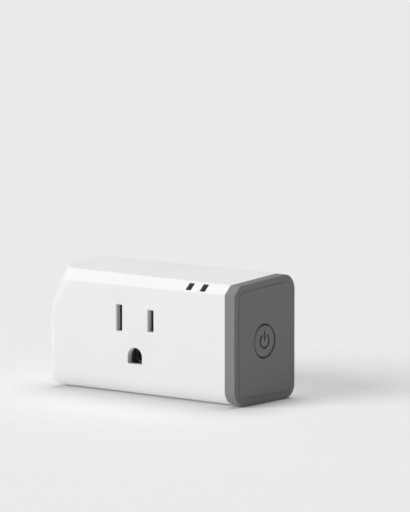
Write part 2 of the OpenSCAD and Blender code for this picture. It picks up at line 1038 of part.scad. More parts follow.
// Printed track that runs to and fro along the top of the radio board
module antenna_track() {
  track = 0.5;
  turns = 5;
  pitch = 1.3;
  rise = 2.4;
  start_x = 9.4;
  low = 1.8;
  y = [radio_y - 0.12, radio_y - 0.02];
  color(copper)
    union() {
      for (i = [0:turns])
        block([start_x + i * pitch, start_x + i * pitch + track], y, [low, low + rise]);
      for (i = [0:turns - 1])
        block(
          [start_x + i * pitch, start_x + (i + 1) * pitch + track],
          y,
          i % 2 == 0 ? [low + rise - track, low + rise] : [low, low + track]
        );
    }
}

// Strip of pins that stands the radio board off the main board
module board_header() {
  pins = 6;
  pitch = 2;
  start_x = 10.4;
  z = 6.6;
  strip_half = 1;
  pin_half = 0.25;
  strip_height = 2;
  color(dark)
    union() {
      block(
        [start_x - pitch / 2, start_x + (pins - 0.5) * pitch],
        [board_y - strip_height, board_y - 0.05],
        around(z, strip_half)
      );
      for (i = [0:pins - 1])
        block(
          around(start_x + i * pitch, pin_half),
          [radio_y + 0.85, board_y - 0.06],
          around(z, pin_half)
        );
    }
}

module indicator_lights() {
  half = 0.8;
  height = 0.7;
  color([0.95, 0.93, 0.80])
    for (i = [0, 1])
      block(
        around(light_x + i * light_pitch, half),
        [radio_y - height, radio_y - 0.02],
        around(7.3, half)
      );
}

module button_board() {
  thickness = 1;
  right = 28.1;
  color(board_green)
    block([right - thickness, right], [button_y - 6, board_y - 0.05], around(button_z, 6));
}

switch_face_x = 31.4;
plunger_r = 1.7;

module switch_body() {
  half = 3;
  back = 28.15;
  bore_depth = 2 * button_travel + 0.4;
  bore_gap = 0.2;
  color(dark)
    difference() {
      block([back, switch_face_x], around(button_y, half), around(button_z, half));
      bar_x([switch_face_x - bore_depth, switch_face_x + 1], button_y, button_z, plunger_r + bore_gap);
    }
}

module switch_plunger() {
  tip_x = 32.2;
  sunk = button_travel + 0.3;
  color([0.72, 0.66, 0.58])
    bar_x([switch_face_x - sunk, tip_x], button_y, button_z, plunger_r);
}

front_housing();
rear_cover();
end_cap();
power_button();
light_guide_left();
light_guide_right();
cover_screws();
line_blade();
neutral_blade();
ground_pin();
blade_holder();
contact_carrier();
line_contact();
neutral_contact();
ground_contact();
ground_strap();
main_board();
relay_base();
relay_cover();
relay_bobbin();
relay_winding();
relay_core();
relay_yoke();
relay_armature();
relay_contact_arm();
relay_fixed_contact();
fuse();
varistor();
safety_capacitor();
capacitor_sleeves();
capacitor_tops();
transformer_core();
transformer_bobbin();
transformer_winding();
rectifier();
power_chip();
radio_board();
radio_shield();
antenna_track();
board_header();
indicator_lights();
button_board();
switch_body();
switch_plunger();
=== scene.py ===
"""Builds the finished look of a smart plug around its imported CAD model.

Every length is in metres, in the frame of the CAD model: +X to the right, +Y into the wall, +Z up,
with the origin midway between the two blades on the face that meets the wall.
"""

import math

import bmesh
import bpy
import numpy as np
from bpy.props import FloatProperty, FloatVectorProperty, IntProperty, PointerProperty
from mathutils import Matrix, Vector, geometry


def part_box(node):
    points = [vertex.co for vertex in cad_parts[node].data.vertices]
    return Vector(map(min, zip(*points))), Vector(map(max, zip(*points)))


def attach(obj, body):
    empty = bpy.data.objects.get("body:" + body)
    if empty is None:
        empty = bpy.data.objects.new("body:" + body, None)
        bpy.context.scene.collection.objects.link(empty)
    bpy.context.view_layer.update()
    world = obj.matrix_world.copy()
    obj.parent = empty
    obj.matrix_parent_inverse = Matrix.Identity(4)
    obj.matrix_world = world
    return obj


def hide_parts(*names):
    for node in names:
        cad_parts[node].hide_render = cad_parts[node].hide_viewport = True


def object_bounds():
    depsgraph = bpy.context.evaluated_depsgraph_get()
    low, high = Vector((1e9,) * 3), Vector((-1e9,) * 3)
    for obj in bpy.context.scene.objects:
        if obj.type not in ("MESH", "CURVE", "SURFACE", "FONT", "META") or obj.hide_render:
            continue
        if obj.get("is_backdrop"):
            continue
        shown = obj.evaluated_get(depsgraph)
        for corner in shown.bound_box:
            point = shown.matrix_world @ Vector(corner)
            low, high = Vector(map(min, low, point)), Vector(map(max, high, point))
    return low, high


bl_info = {
    "name": "Smart plug",
    "version": (1, 0, 0),
    "blender": (4, 5, 0),
    "location": "3D View > Sidebar > Smart plug",
    "description": "Builds a smart plug: case, end cap, button, blades, outlet and what is inside",
    "category": "Add Mesh",
}

MM = 0.001
TRIANGLES_INSIDE = 1

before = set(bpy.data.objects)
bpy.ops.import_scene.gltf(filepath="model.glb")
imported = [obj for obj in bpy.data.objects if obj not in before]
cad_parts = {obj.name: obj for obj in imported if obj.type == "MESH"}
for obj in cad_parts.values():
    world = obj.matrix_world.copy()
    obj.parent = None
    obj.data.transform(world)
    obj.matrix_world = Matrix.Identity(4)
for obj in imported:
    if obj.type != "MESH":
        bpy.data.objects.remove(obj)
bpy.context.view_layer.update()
CASE_LOW, CASE_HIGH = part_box("front_housing")
CAP_LOW, CAP_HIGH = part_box("end_cap")
COVER_LOW, COVER_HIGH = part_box("rear_cover")
BUTTON_LOW, BUTTON_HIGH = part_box("power_button")
SCREWS_LOW, SCREWS_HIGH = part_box("cover_screws")
BUTTON_CENTRE = ((BUTTON_LOW.y + BUTTON_HIGH.y) / 2, (BUTTON_LOW.z + BUTTON_HIGH.z) / 2)

# Smallest difference that counts when a face is tested for being flat, and least round of a corner
FLAT, LEAST_ROUND = 1e-6, 0.4 * MM
SCREW_HEAD, SCREW_WELL, COVER_GAP = 2.2 * MM, 1.3 * MM, 0.12 * MM
# Groove round the end cap's panel and mouth of the button's hole: (further in or out, above the face), in mm
PANEL_GROOVE = ((-0.24, -0.08), (-0.14, -0.11), (-0.14, -0.17), (0, -0.17), (0, -0.06), (0.03, -0.02), (0.1, 0))
BUTTON_HOLE_EDGE = ((0.3, 0), (0.22, -0.03), (0.03, -0.26), (0, -0.34))
# Each lamp: the way towards it, its spread in degrees and its power
SUNS = {
    "Key": ((-0.35, -0.78, 0.45), 40, 2.58),
    "Overhead": ((-0.05, 0.25, 1.0), 50, 2.36),
    "Under": ((0.0, 0.0, -1.0), 60, 0.9),
}


# ---- Settings ----


def length(name, description, default_mm):
    """A size in metres, given here in millimetres."""
    default = default_mm * MM
    return FloatProperty(name=name, description=description, default=default, subtype="DISTANCE", precision=5)


def tint(name, description, default):
    """A colour, as linear red, green and blue."""
    return FloatVectorProperty(name=name, description=description, default=default, subtype="COLOR", min=0, max=1)


def turn(name, description, degrees):
    """An angle, given here in degrees."""
    return FloatProperty(name=name, description=description, default=math.radians(degrees), subtype="ANGLE")


class SmartPlugCase(bpy.types.PropertyGroup):
    """Form of the white case and of the end cap that continues it."""

    top_back: length("Top at the wall", "Height of the top face where it would meet the wall", 12.9)
    top_front: length("Top at the front", "Height of the top face where it would meet the front", 11.15)
    bottom_back: length("Underside at the wall", "Height of the underside at the wall", -26.85)
    bottom_front: length("Underside at the front", "Height of the underside at the front", -26.45)
    wall: length("Wall", "Thickness of the case", 2.0)
    back_top_radius: length("Upper back radius", "Round along the upper edge by the wall", 5.2)
    back_bottom_radius: length("Lower back radius", "Round along the lower edge by the wall", 4.0)
    front_bottom_radius: length("Lower front radius", "Round along the lower edge of the front", 4.8)
    left_bottom_radius: length("Lower left radius", "Round along the lower edge of the left end", 3.4)
    crease: length("Crease", "Round along the crisp edges of the bevel", 0.45)
    crest: length("Crest", "Round along the edge between the bevel and the top face", 0.2)
    left_radius: length("Left edge radius", "Round of the upright left edge, low down", 2.5)
    sweep_radius: length("Sweep radius", "Round of the left edge where it meets the bevel", 11.0)
    sweep_top_radius: length("Sweep top radius", "Round of the left edge at the top face", 8.0)
    sweep_start: length("Sweep start", "Height at which the left edge starts to sweep back", -1.0)
    foot_left: length("Bevel foot, left", "Height of the foot of the bevel at the left end", 8.0)
    foot_right: length("Bevel foot, right", "Height of the foot of the bevel at the right end", 8.6)
    crest_left: length("Bevel crest, left", "Distance from the wall to the bevel's crest at the left", 26.5)
    crest_right: length("Bevel crest, right", "Distance from the wall to the bevel's crest at the right", 28.2)
    lip: length("Lip", "Round of the edges of openings and seams", 0.16)


class SmartPlugOutlet(bpy.types.PropertyGroup):
    """Openings in the front, in the bevel and in the back."""

    x: length("Across", "Middle of the outlet along the front", -4.24)
    z: length("Height", "Height of the middle of the two slots", -2.3)
    pitch: length("Pitch", "Spacing of the slots", 12.7)
    slot_width: length("Slot width", "Width of each slot", 2.15)
    lead_in: length("Lead-in", "Width of the slope around the mouth of each slot", 0.28)
    neutral_height: length("Neutral slot", "Height of the neutral slot", 8.4)
    line_height: length("Line slot", "Height of the line slot", 6.9)
    ground_drop: length("Ground drop", "Distance of the ground opening below the slots", 11.9)
    ground_radius: length("Ground radius", "Round part of the ground opening", 2.8)
    ground_flat: length("Ground flat", "Distance of its flat side below its middle", 2.35)
    window_x: length("First window", "Middle of the first window along the bevel", 16.9)
    window_pitch: length("Window pitch", "Spacing of the two windows", 5.6)
    window_width: length("Window width", "Width of a window", 2.1)
    window_length: length("Window length", "Length of a window down the bevel", 3.2)


class SmartPlugButton(bpy.types.PropertyGroup):
    """The round button and the sign on it."""

    radius: length("Radius", "Radius of the button", 5.15)
    gap: length("Gap", "Gap around the button", 0.36)
    crown: length("Crown", "How far the middle of the button stands above its rim", 0.12)
    sign_radius: length("Sign radius", "Radius of the arc of the power sign", 2.2)
    sign_line: length("Sign line", "Width of the lines of the power sign", 0.6)
    sign_depth: length("Sign depth", "Depth of the lines of the power sign", 0.3)


class SmartPlugFinishes(bpy.types.PropertyGroup):
    """Colours of the finishes."""

    white: tint("White plastic", "Case and rear cover", (0.73, 0.73, 0.728))
    grey: tint("Grey plastic", "End cap and button", (0.182, 0.182, 0.183))
    smoked: tint("Smoked plastic", "Light guides", (0.010, 0.010, 0.011))
    plated: tint("Plated brass", "Blades and ground pin", (0.80, 0.74, 0.58))
    brass: tint("Contact brass", "Contacts and ground strap, under thin nickel", (0.42, 0.40, 0.36))
    steel: tint("Steel", "Screws, relay iron", (0.56, 0.56, 0.55))
    black: tint("Black plastic", "Carrier, holder and chips", (0.022, 0.022, 0.024))
    board: tint("Board", "Solder mask of the power and button boards", (0.012, 0.12, 0.045))


class SmartPlugStage(bpy.types.PropertyGroup):
    """Camera, lights and floor."""

    azimuth: turn("Azimuth", "Turn of the camera", 38)
    elevation: turn("Elevation", "Camera above the horizon", 7.36)
    distance: length("Distance", "Camera to the point that it looks at", 1522)
    look_x: length("Look at, across", "Place that the camera looks at", -0.31)
    look_z: length("Look at, height", "Place that the camera looks at", 15.12)
    lens: FloatProperty(name="Lens", description="Focal length in millimetres", default=333.9, min=1)
    floor_tint: tint("Floor", "Colour of the floor", (0.72, 0.72, 0.72))


class SmartPlugSettings(bpy.types.PropertyGroup):
    """Everything that can be changed."""

    case: PointerProperty(type=SmartPlugCase)
    outlet: PointerProperty(type=SmartPlugOutlet)
    button: PointerProperty(type=SmartPlugButton)
    finishes: PointerProperty(type=SmartPlugFinishes)
    stage: PointerProperty(type=SmartPlugStage)
    rounding: IntProperty(name="Rounding", description="Steps around a small corner", default=6, min=2, max=12)


def settings():
    """The settings of the open scene."""
    return bpy.context.scene.smart_plug


# ---- Mesh tools ----


class Surface:
    """Collects points and faces of one piece, patch by patch."""

    def __init__(self, *sheets):
        """Starts with whole sheets, each closed along its second direction."""
        self.blocks, self.faces, self.count = [], [], 0
        for sheet in sheets:
            self.grid(self.add(sheet))

    def add(self, points):
        """Stores points, of shape (..., 3), and returns their numbers in the same shape."""
        points = np.asarray(points, float)
        numbers = np.arange(self.count, self.count + points[..., 0].size).reshape(points.shape[:-1])
        self.blocks.append(points.reshape(-1, 3))
        self.count += numbers.size
        return numbers

    def grid(self, numbers, around=True, skip=None):
        """Quads between neighbouring rows of numbers; around joins the last column to the first."""
        after = np.roll(numbers, -1, axis=1) if around else numbers[:, 1:]
        here = numbers if around else numbers[:, :-1]
        quads = np.stack([here[:-1], after[:-1], after[1:], here[1:]], axis=-1)
        keep = np.ones(quads.shape[:2], bool)
        for rows, columns in skip or []:
            keep[rows[0] : rows[1], columns[0] : columns[1]] = False
        self.faces.extend(quads[keep].tolist())

    def bridge(self, one, other):
        """Quads between two closed rings of equal length."""
        self.grid(np.stack([one, other]))

    def fill(self, ring, holes, across, up):
        """Triangles that fill a flat ring around its holes; across and up are the plane's directions.

        The holes are convex, so a triangle with all its corners on one hole lies in that hole and is left out.
        """
        loops = [np.asarray(ring), *[np.asarray(h) for h in holes]]
        numbers = np.concatenate(loops)
        points = np.concatenate(self.blocks)[numbers]
        flat = [Vector((float(p @ across), float(p @ up))) for p in points / MM]
        edges, start = [], 0
        for loop in loops:
            edges += [(start + k, start + (k + 1) % len(loop)) for k in range(len(loop))]
            start += len(loop)
        made = geometry.delaunay_2d_cdt(flat, edges, [], TRIANGLES_INSIDE, 1e-5)
        if any(not found for found in made[3]):
            raise ValueError("Outlines of a filled face cross each other")
        origin = np.array([found[0] for found in made[3]])
        corners = origin[np.array(made[2])]
        owner = np.repeat(np.arange(len(loops)), [len(loop) for loop in loops])[corners]
        in_hole = (owner[:, 0] > 0) & (owner[:, 0] == owner[:, 1]) & (owner[:, 0] == owner[:, 2])
        self.faces.extend(numbers[corners[~in_hole]].tolist())

    def piece(self, name, look, slot, replaces=(), body="case", bevel=0.0):
        """Makes the object: merged, facing outwards, smooth up to the crease angle, riding on its body."""
        crease = math.radians(35)
        mesh = bpy.data.meshes.new(name)
        mesh.from_pydata(np.concatenate(self.blocks).tolist(), [], self.faces)
        work = bmesh.new()
        work.from_mesh(mesh)
        bmesh.ops.remove_doubles(work, verts=work.verts, dist=1e-7)
        bmesh.ops.dissolve_degenerate(work, edges=work.edges, dist=1e-8)
        bmesh.ops.recalc_face_normals(work, faces=work.faces)
        for face in work.faces:
            face.smooth = True
        for edge in work.edges:
            edge.smooth = len(edge.link_faces) == 2 and edge.calc_face_angle(0) < crease
        work.to_mesh(mesh)
        work.free()
        mesh.materials.append(finish(look))
        piece = bpy.data.objects.new(name, mesh)
        bpy.context.scene.collection.objects.link(piece)
        if bevel:
            soften(piece, bevel)
        level = piece.modifiers.new("Even shading", "WEIGHTED_NORMAL")
        level.keep_sharp = True
        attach(piece, body)
        if replaces:
            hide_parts(*replaces)
        return piece


def soften(piece, width):
    """Rounds the sharp edges of a piece."""
    bevel = piece.modifiers.new("Soft edges", "BEVEL")
    bevel.width, bevel.segments = width, 2
    bevel.limit_method, bevel.angle_limit = "ANGLE", math.radians(40)


def arc(centre, radius, start, end, steps):
    """Points of an arc in a plane: centre plus radius times the cosine and sine of the angle."""
    angle = np.linspace(start, end, steps + 1)
    return np.stack([centre[0] + radius * np.cos(angle), centre[1] + radius * np.sin(angle)], axis=-1)


def circle(centre, radius, steps=48):
    """Points of a full circle in a plane."""
    return arc(centre, radius, 0, 2 * math.pi, steps)[:-1]


def rounded_loop(corners, radii, steps, inset=0.0, spacing=None):
    """Closed outline of a polygon whose corners, taken anticlockwise, become arcs.

    Each side moves inwards by inset, neighbouring sides are met again, and at each corner an arc of the
    given radius less the inset touches both. Long sides get extra points when a spacing is given.
    """
    corners = np.asarray(corners, float)
    sides = np.roll(corners, -1, axis=0) - corners
    along = sides / np.linalg.norm(sides, axis=1, keepdims=True)
    inward = np.stack([-along[:, 1], along[:, 0]], axis=-1)
    offset = np.einsum("ij,ij->i", inward, corners) + inset
    before = np.roll(np.arange(len(corners)), 1)
    steps = np.broadcast_to(steps, len(radii))
    loop = []
    for k, radius in enumerate(radii):
        lines = np.stack([inward[before[k]], inward[k]])
        radius = max(radius - inset, 0.05 * MM)
        centre = np.linalg.solve(lines, np.array([offset[before[k]], offset[k]]) + radius)
        first = math.atan2(*(-inward[before[k]])[::-1])
        turn = (math.atan2(*(-inward[k])[::-1]) - first) % (2 * math.pi)
        loop.append(arc(centre, radius, first, first + turn, int(steps[k])))
    if spacing is None:
        return np.concatenate(loop)
    full = []
    for k, points in enumerate(loop):
        full.append(points)
        gap = loop[(k + 1) % len(loop)][0] - points[-1]
        extra = int(np.linalg.norm(sides[k]) / spacing)
        full.append(points[-1] + gap * (np.arange(1, extra + 1) / (extra + 1))[:, None])
    return np.concatenate(full)


def rectangle(centre, size):
    """Corners of an upright rectangle, anticlockwise."""
    half = np.asarray(size) / 2
    return np.asarray(centre) + np.array([[-1, -1], [1, -1], [1, 1], [-1, 1]]) * half


def place(points, axes, origin=(0, 0, 0)):
    """Puts plane points, (..., 2), into space: origin plus each coordinate times its axis."""
    return np.asarray(origin, float) + np.asarray(points) @ np.asarray(axes, float)


X, Y, Z = np.eye(3)


def turned(profile, axis, origin, steps=64, lift=None):
    """Surface of revolution: (radius, along) pairs carried round an axis.

    Point (i, j) is origin + along_i * axis + radius_i * (cos a_j, sin a_j) in the plane across the axis.
    lift, when given, takes radius and angle grids and returns what is added along the axis.
    """
    radius, along = np.asarray(profile, float).T[..., None] * np.ones(steps)
    side = {0: Y, 1: Z, 2: X}[int(np.argmax(np.abs(axis)))]
    angle = np.linspace(0, 2 * math.pi, steps, endpoint=False) + np.zeros_like(radius)
    if lift is not None:
        along = along + lift(radius, angle)
    cross = np.cos(angle)[..., None] * side + np.sin(angle)[..., None] * np.cross(axis, side)
    return np.asarray(origin, float) + along[..., None] * axis + radius[..., None] * cross


def bent(points, radius, steps):
    """Profile whose inner corners become short arcs, so that turned edges are round."""
    points = [np.asarray(p, float) for p in points]
    out = [points[0]]
    for last, corner, following in zip(points, points[1:], points[2:]):
        back, ahead = last - corner, following - corner
        reach = min(radius, np.linalg.norm(back) * 0.45, np.linalg.norm(ahead) * 0.45)
        start = corner + back / np.linalg.norm(back) * reach
        end = corner + ahead / np.linalg.norm(ahead) * reach
        t = np.linspace(0, 1, steps + 1)[:, None]
        out.extend((1 - t) ** 2 * start + 2 * t * (1 - t) * corner + t**2 * end)
    out.append(points[-1])
    return np.array(out)


def slab(outline, holes, axes, origin, thickness):
    """Flat plate with through holes: both faces filled, and a wall along the outline and each hole."""
    surface = Surface()
    faces = []
    for lift in (0.0, thickness):
        base = np.asarray(origin) + np.cross(*axes) * lift
        faces.append([surface.add(place(loop, axes, base)) for loop in (outline, *holes)])
        surface.fill(faces[-1][0], faces[-1][1:], *axes)
    for one, other in zip(*faces):
        surface.bridge(one, other)
    return surface


# ---- Case form ----


def soft_ramp(value, softness):
    """Zero well below nought, the value well above it, and a parabola within the softness between them."""
    turn = (value + softness) ** 2 / (4 * softness)
    return np.where(value < -softness, 0, np.where(value > softness, value, turn))


def rounded_meet(a, b, radius):
    """Inside of two faces, both negative within, joined by a fillet of the given radius."""
    outside = np.hypot(np.maximum(a + radius, 0), np.maximum(b + radius, 0))
    return np.minimum(np.maximum(a, b), -radius) + outside


def mix(a, b, share):
    """Straight-line blend from a to b."""
    return a + (b - a) * share


# Columns of the case's grid, in degrees, that follow the foot and the crest of the bevel, and the ends of
# the stretch in which they may shift
BEVEL_MARKS, SHIFT_LOW, SHIFT_HIGH = (44.5, 60.0), 20, 95
# Along X: where the rays start to fan out over the left end, the end of the close rows, and where the
# radius below starts to change and over what length
FAN_X, CLOSE_X, CHANGE_X, CHANGE_LENGTH = -34.8 * MM, -26 * MM, -30 * MM, 10 * MM
# Longest ray, and how often its length is halved
RAY_LENGTH, HALVINGS = 60 * MM, 34


class CaseForm:
    """The outer form of the case as a field that is negative inside, and places on it."""

    def __init__(self, case):
        self.case = case
        self.left, self.seam, self.front = CASE_LOW.x, CASE_HIGH.x, CASE_LOW.y
        self.top_slope = (case.top_back - case.top_front) / -self.front
        self.bottom_slope = (case.bottom_front - case.bottom_back) / -self.front
        self.middle = np.array([self.front / 2, (case.top_back + case.bottom_back) / 2])

    def top(self, y):
        """Height of the top face."""
        return self.case.top_back + self.top_slope * y

    def bottom(self, y):
        """Height of the underside."""
        return self.case.bottom_back - self.bottom_slope * y

    def bevel(self, x):
        """Foot height, crest y and crest height of the bevel, straight lines along x."""
        case = self.case
        share = (x - self.left) / (self.seam - self.left)
        foot = mix(case.foot_left, case.foot_right, share)
        crest_y = -mix(case.crest_left, case.crest_right, share)
        return foot, crest_y, self.top(crest_y)

    def field(self, x, y, z, inset):
        """Rounded meeting of the faces, each moved inwards by inset.

        Seen from above, the front and left faces meet in a round whose radius grows from the upright edge
        up to the foot of the bevel and then shrinks a little up to the top face. Above the foot the
        front face leans back as the bevel. That plan form then meets the top, the underside and the back.
        """
        case = self.case
        foot, crest_y, crest_z = self.bevel(x)
        lean = (crest_y - self.front) / (crest_z - foot)
        lower = foot - inset * (np.hypot(1, lean) - 1) / lean
        face_y = self.front + inset + lean * soft_ramp(z - lower, case.crease * 0.5)
        grow = soft_ramp(z - case.sweep_start, 2 * MM) / (foot - case.sweep_start)
        radius = mix(case.left_radius, case.sweep_radius, np.minimum(grow, 1))
        fade = np.clip((z - foot) / (crest_z - foot), 0, 1)
        radius = np.maximum(radius - (case.sweep_radius - case.sweep_top_radius) * fade - inset, LEAST_ROUND)
        plan = rounded_meet(self.left + inset - x, face_y - y, radius)
        upper = rounded_meet(plan, z - self.top(y) + inset, case.crest)
        near_left = np.clip((CHANGE_X - x) / CHANGE_LENGTH, 0, 1)
        low_radius = mix(case.front_bottom_radius, case.left_bottom_radius, near_left) - inset
        low_radius = np.maximum(low_radius, LEAST_ROUND)
        whole = rounded_meet(upper, self.bottom(y) + inset - z, low_radius)
        high = np.clip((z - case.bottom_front) / (case.top_front - case.bottom_front), 0, 1)
        back_radius = np.maximum(mix(case.back_bottom_radius, case.back_top_radius, high) - inset, LEAST_ROUND)
        return rounded_meet(whole, y + inset, back_radius)

    def rays(self):
        """Rows of ray starts and tilts along the case, and columns of turns about its length."""
        tilt = np.radians(np.concatenate([np.arange(90, 30, -6), np.arange(30, 0, -1.25)]))
        dense = np.arange(FAN_X, CLOSE_X, 0.5 * MM)
        sparse = np.linspace(CLOSE_X, self.seam, 40)
        start = np.concatenate([np.full(tilt.size, FAN_X), dense, sparse])
        tilt = np.concatenate([tilt, np.zeros(dense.size + sparse.size)])
        band = np.arange(-1.2, 1.3, 0.2)
        foot_mark, crest_mark = BEVEL_MARKS
        turn = np.concatenate([np.arange(-90, 270, 1.5), foot_mark + band, crest_mark + band * 1.2])
        turn = np.unique(np.round(turn, 3))
        foot, crest_y, crest_z = self.bevel(start)
        middle_y, middle_z = self.middle
        foot_turn = np.degrees(np.arctan2(foot - middle_z, middle_y - self.front))
        crest_turn = np.degrees(np.arctan2(crest_z - middle_z, middle_y - crest_y))

        def marks(*middle):
            """Turns that hold still outside the stretch, with the two middle ones given."""
            return [-90, SHIFT_LOW, *middle, SHIFT_HIGH, 270]

        given = marks(*BEVEL_MARKS)
        turns = np.stack([np.interp(turn, given, marks(*pair)) for pair in zip(foot_turn, crest_turn)])
        return start, tilt, np.radians(turns)

    def skin(self, inset):
        """Points of the case's skin as rows by columns.

        Each point lies on a ray from the case's middle line, tilted over the left end, at the distance at
        which the field is zero. The distance is found by halving.
        """
        start, tilt, turns = self.rays()
        origin = np.concatenate([start[:, None], np.tile(self.middle, (start.size, 1))], axis=1)[:, None]
        tilt = tilt[:, None] + np.zeros_like(turns)
        ray = np.stack([-np.sin(tilt), -np.cos(tilt) * np.cos(turns), np.cos(tilt) * np.sin(turns)], axis=-1)
        near, far = np.zeros(turns.shape), np.full(turns.shape, RAY_LENGTH)
        for _ in range(HALVINGS):
            half = (near + far) / 2
            inside = self.field(*np.moveaxis(origin + ray * half[..., None], -1, 0), inset) < 0
            near, far = np.where(inside, half, near), np.where(inside, far, half)
        return origin + ray * near[..., None]


def outlet_loops(outlet, steps, grow):
    """Outlines of the two slots and the ground opening in the front, as (x, z), larger by grow all round."""
    left, right = outlet.x - outlet.pitch / 2, outlet.x + outlet.pitch / 2
    loops = []
    for x, height in ((left, outlet.neutral_height), (right, outlet.line_height)):
        slot = rectangle((x, outlet.z), (outlet.slot_width, height))
        loops.append(rounded_loop(slot, [0.2 * MM] * 4, 3, -grow))
    middle = outlet.z - outlet.ground_drop
    r, flat = outlet.ground_radius, middle - outlet.ground_flat
    box = [(outlet.x - r, flat), (outlet.x + r, flat), (outlet.x + r, middle + r), (outlet.x - r, middle + r)]
    around = [2, 2, steps * 3, steps * 3]
    loops.append(rounded_loop(box, [0.35 * MM, 0.35 * MM, r - 1e-6, r - 1e-6], around, -grow * 0.5))
    return loops


def window_loops(outlet, middle, half_length):
    """Outlines of the windows as (along the case, up the bevel from its middle)."""
    size = (outlet.window_width, 2 * half_length)
    places = [outlet.window_x, outlet.window_x + outlet.window_pitch]
    return [rounded_loop(rectangle((x, middle), size), [0.15 * MM] * 4, 2) for x in places]


def back_loop(inset=0.0):
    """Outline of the opening in the back, as (x, z), from the rear cover's box."""
    gap = 0.12 * MM
    low, high = COVER_LOW, COVER_HIGH
    centre = ((low.x + high.x) / 2, (low.z + high.z) / 2)
    size = (high.x - low.x + 2 * gap, high.z - low.z + 2 * gap)
    return rounded_loop(rectangle(centre, size), [3 * MM] * 4, 8, inset)


def bevel_frame(form, x, depth):
    """A place on the middle of the bevel at x, below its surface by depth, and the direction up its slope."""
    foot, crest_y, crest_z = form.bevel(x)
    slope = np.array([0, crest_y - form.front, crest_z - foot])
    slope /= np.linalg.norm(slope)
    normal = np.cross(X, slope)
    middle = np.array([0, (form.front + crest_y) / 2, (foot + crest_z) / 2])
    return middle - normal * depth, slope


# ---- Shader tools ----


def feed(tree, inlet, value):
    """Links an input to a socket, or sets it to a value."""
    if isinstance(value, bpy.types.NodeSocket):
        tree.links.new(value, inlet)
    elif value is not None:
        inlet.default_value = value


def add_node(tree, kind, **values):
    """A shader node with its properties and inputs set; an input takes a socket or a value."""
    made = tree.nodes.new("ShaderNode" + kind)
    for key, value in values.items():
        if hasattr(made, key):
            setattr(made, key, value)
        else:
            feed(tree, made.inputs[key.replace("_", " ")], value)
    return made


def calc(tree, operation, a, b=None, clamp=False):
    """A Math node; a and b are sockets or numbers."""
    made = add_node(tree, "Math", operation=operation, use_clamp=clamp)
    feed(tree, made.inputs[0], a)
    feed(tree, made.inputs[1], b)
    return made.outputs[0]


def times(tree, a, b, clamp=False):
    """The product of two sockets or numbers."""
    return calc(tree, "MULTIPLY", a, b, clamp)


def place_on(tree):
    """The shaded point's place on the part."""
    return add_node(tree, "TexCoord").outputs["Object"]


def noise(tree, scale, detail):
    """Noise over the part, with a scale that is a socket or a number."""
    return add_node(tree, "TexNoise", Vector=place_on(tree), Scale=scale, Detail=detail).outputs["Fac"]


def scaled(colour, factor):
    """A colour made lighter or darker, with its alpha."""
    return (*[min(c * factor, 1.0) for c in colour[:3]], 1.0)


def blend_colour(tree, mask, plain, changed):
    """A colour that goes from plain to changed with the mask; each is a socket or a colour."""
    made = add_node(tree, "Mix", data_type="RGBA", Factor=mask)
    for key, value in (("A", plain), ("B", changed)):
        feed(tree, next(s for s in made.inputs if s.name == key and s.type == "RGBA"), value)
    return next(s for s in made.outputs if s.type == "RGBA")


def moulded_grain(tree, given):
    """Height of spark-eroded texture, from two sizes of noise, and a slow mottle."""
    fine = noise(tree, given["Scale"], 3.0)
    coarse = noise(tree, times(tree, given["Scale"], 0.35), 2.0)
    height = calc(tree, "ADD", times(tree, fine, 0.6), times(tree, coarse, 0.4))
    return height, noise(tree, given["Mottle Scale"], 4.0)


def edge_wear(tree, given):
    """Mask of worn edges: how convex the surface is, broken up by noise."""
    convex = add_node(tree, "NewGeometry").outputs["Pointiness"]
    raised = times(tree, calc(tree, "SUBTRACT", convex, 0.53), 9.0, clamp=True)
    broken = times(tree, raised, noise(tree, given["Break Up"], 3.0))
    return (times(tree, broken, given["Amount"], clamp=True),)


def settled_dust(tree, given):
    """Mask of settled dust: faces that look up, in faint patches."""
    facing = add_node(tree, "NewGeometry").outputs["Normal"]
    up = add_node(tree, "SeparateXYZ", Vector=facing).outputs["Z"]
    patchy = times(tree, calc(tree, "MAXIMUM", up, 0.0), noise(tree, given["Scale"], 5.0))
    return (times(tree, patchy, given["Amount"], clamp=True),)


def drawn_metal(tree, given):
    """Height of drawing marks, from noise stretched along one axis, and slow tarnish."""
    stretch = add_node(tree, "CombineXYZ", X=given["Across"], Y=given["Along"], Z=given["Across"])
    stretched = add_node(tree, "VectorMath", operation="MULTIPLY")
    feed(tree, stretched.inputs[0], place_on(tree))
    feed(tree, stretched.inputs[1], stretch.outputs["Vector"])
    marks = add_node(tree, "TexNoise", Vector=stretched.outputs["Vector"], Scale=1.0, Detail=2.0)
    return marks.outputs["Fac"], noise(tree, given["Tarnish Scale"], 6.0)


# Each shared group: what builds it, its inputs with their defaults, and its outputs
SHARED_GROUPS = {
    "Moulded grain": (moulded_grain, {"Scale": 4000.0, "Mottle Scale": 60.0}, ("Height", "Mottle")),
    "Edge wear": (edge_wear, {"Amount": 0.5, "Break Up": 900.0}, ("Mask",)),
    "Dust": (settled_dust, {"Amount": 0.1, "Scale": 300.0}, ("Mask",)),
    "Drawn metal": (
        drawn_metal,
        {"Across": 6000.0, "Along": 250.0, "Tarnish Scale": 220.0},
        ("Height", "Tarnish"),
    ),
}


def make_group(name):
    """A shared shader group, with float inputs and outputs."""
    build, inputs, outputs = SHARED_GROUPS[name]
    tree = bpy.data.node_groups.new(name, "ShaderNodeTree")
    for label, default in inputs.items():
        item = tree.interface.new_socket(name=label, in_out="INPUT", socket_type="NodeSocketFloat")
        item.default_value = default
    for label in outputs:
        tree.interface.new_socket(name=label, in_out="OUTPUT", socket_type="NodeSocketFloat")
    given = tree.nodes.new("NodeGroupInput").outputs
    out = tree.nodes.new("NodeGroupOutput").inputs
    for label, source in zip(outputs, build(tree, given)):
        tree.links.new(source, out[label])
    return tree


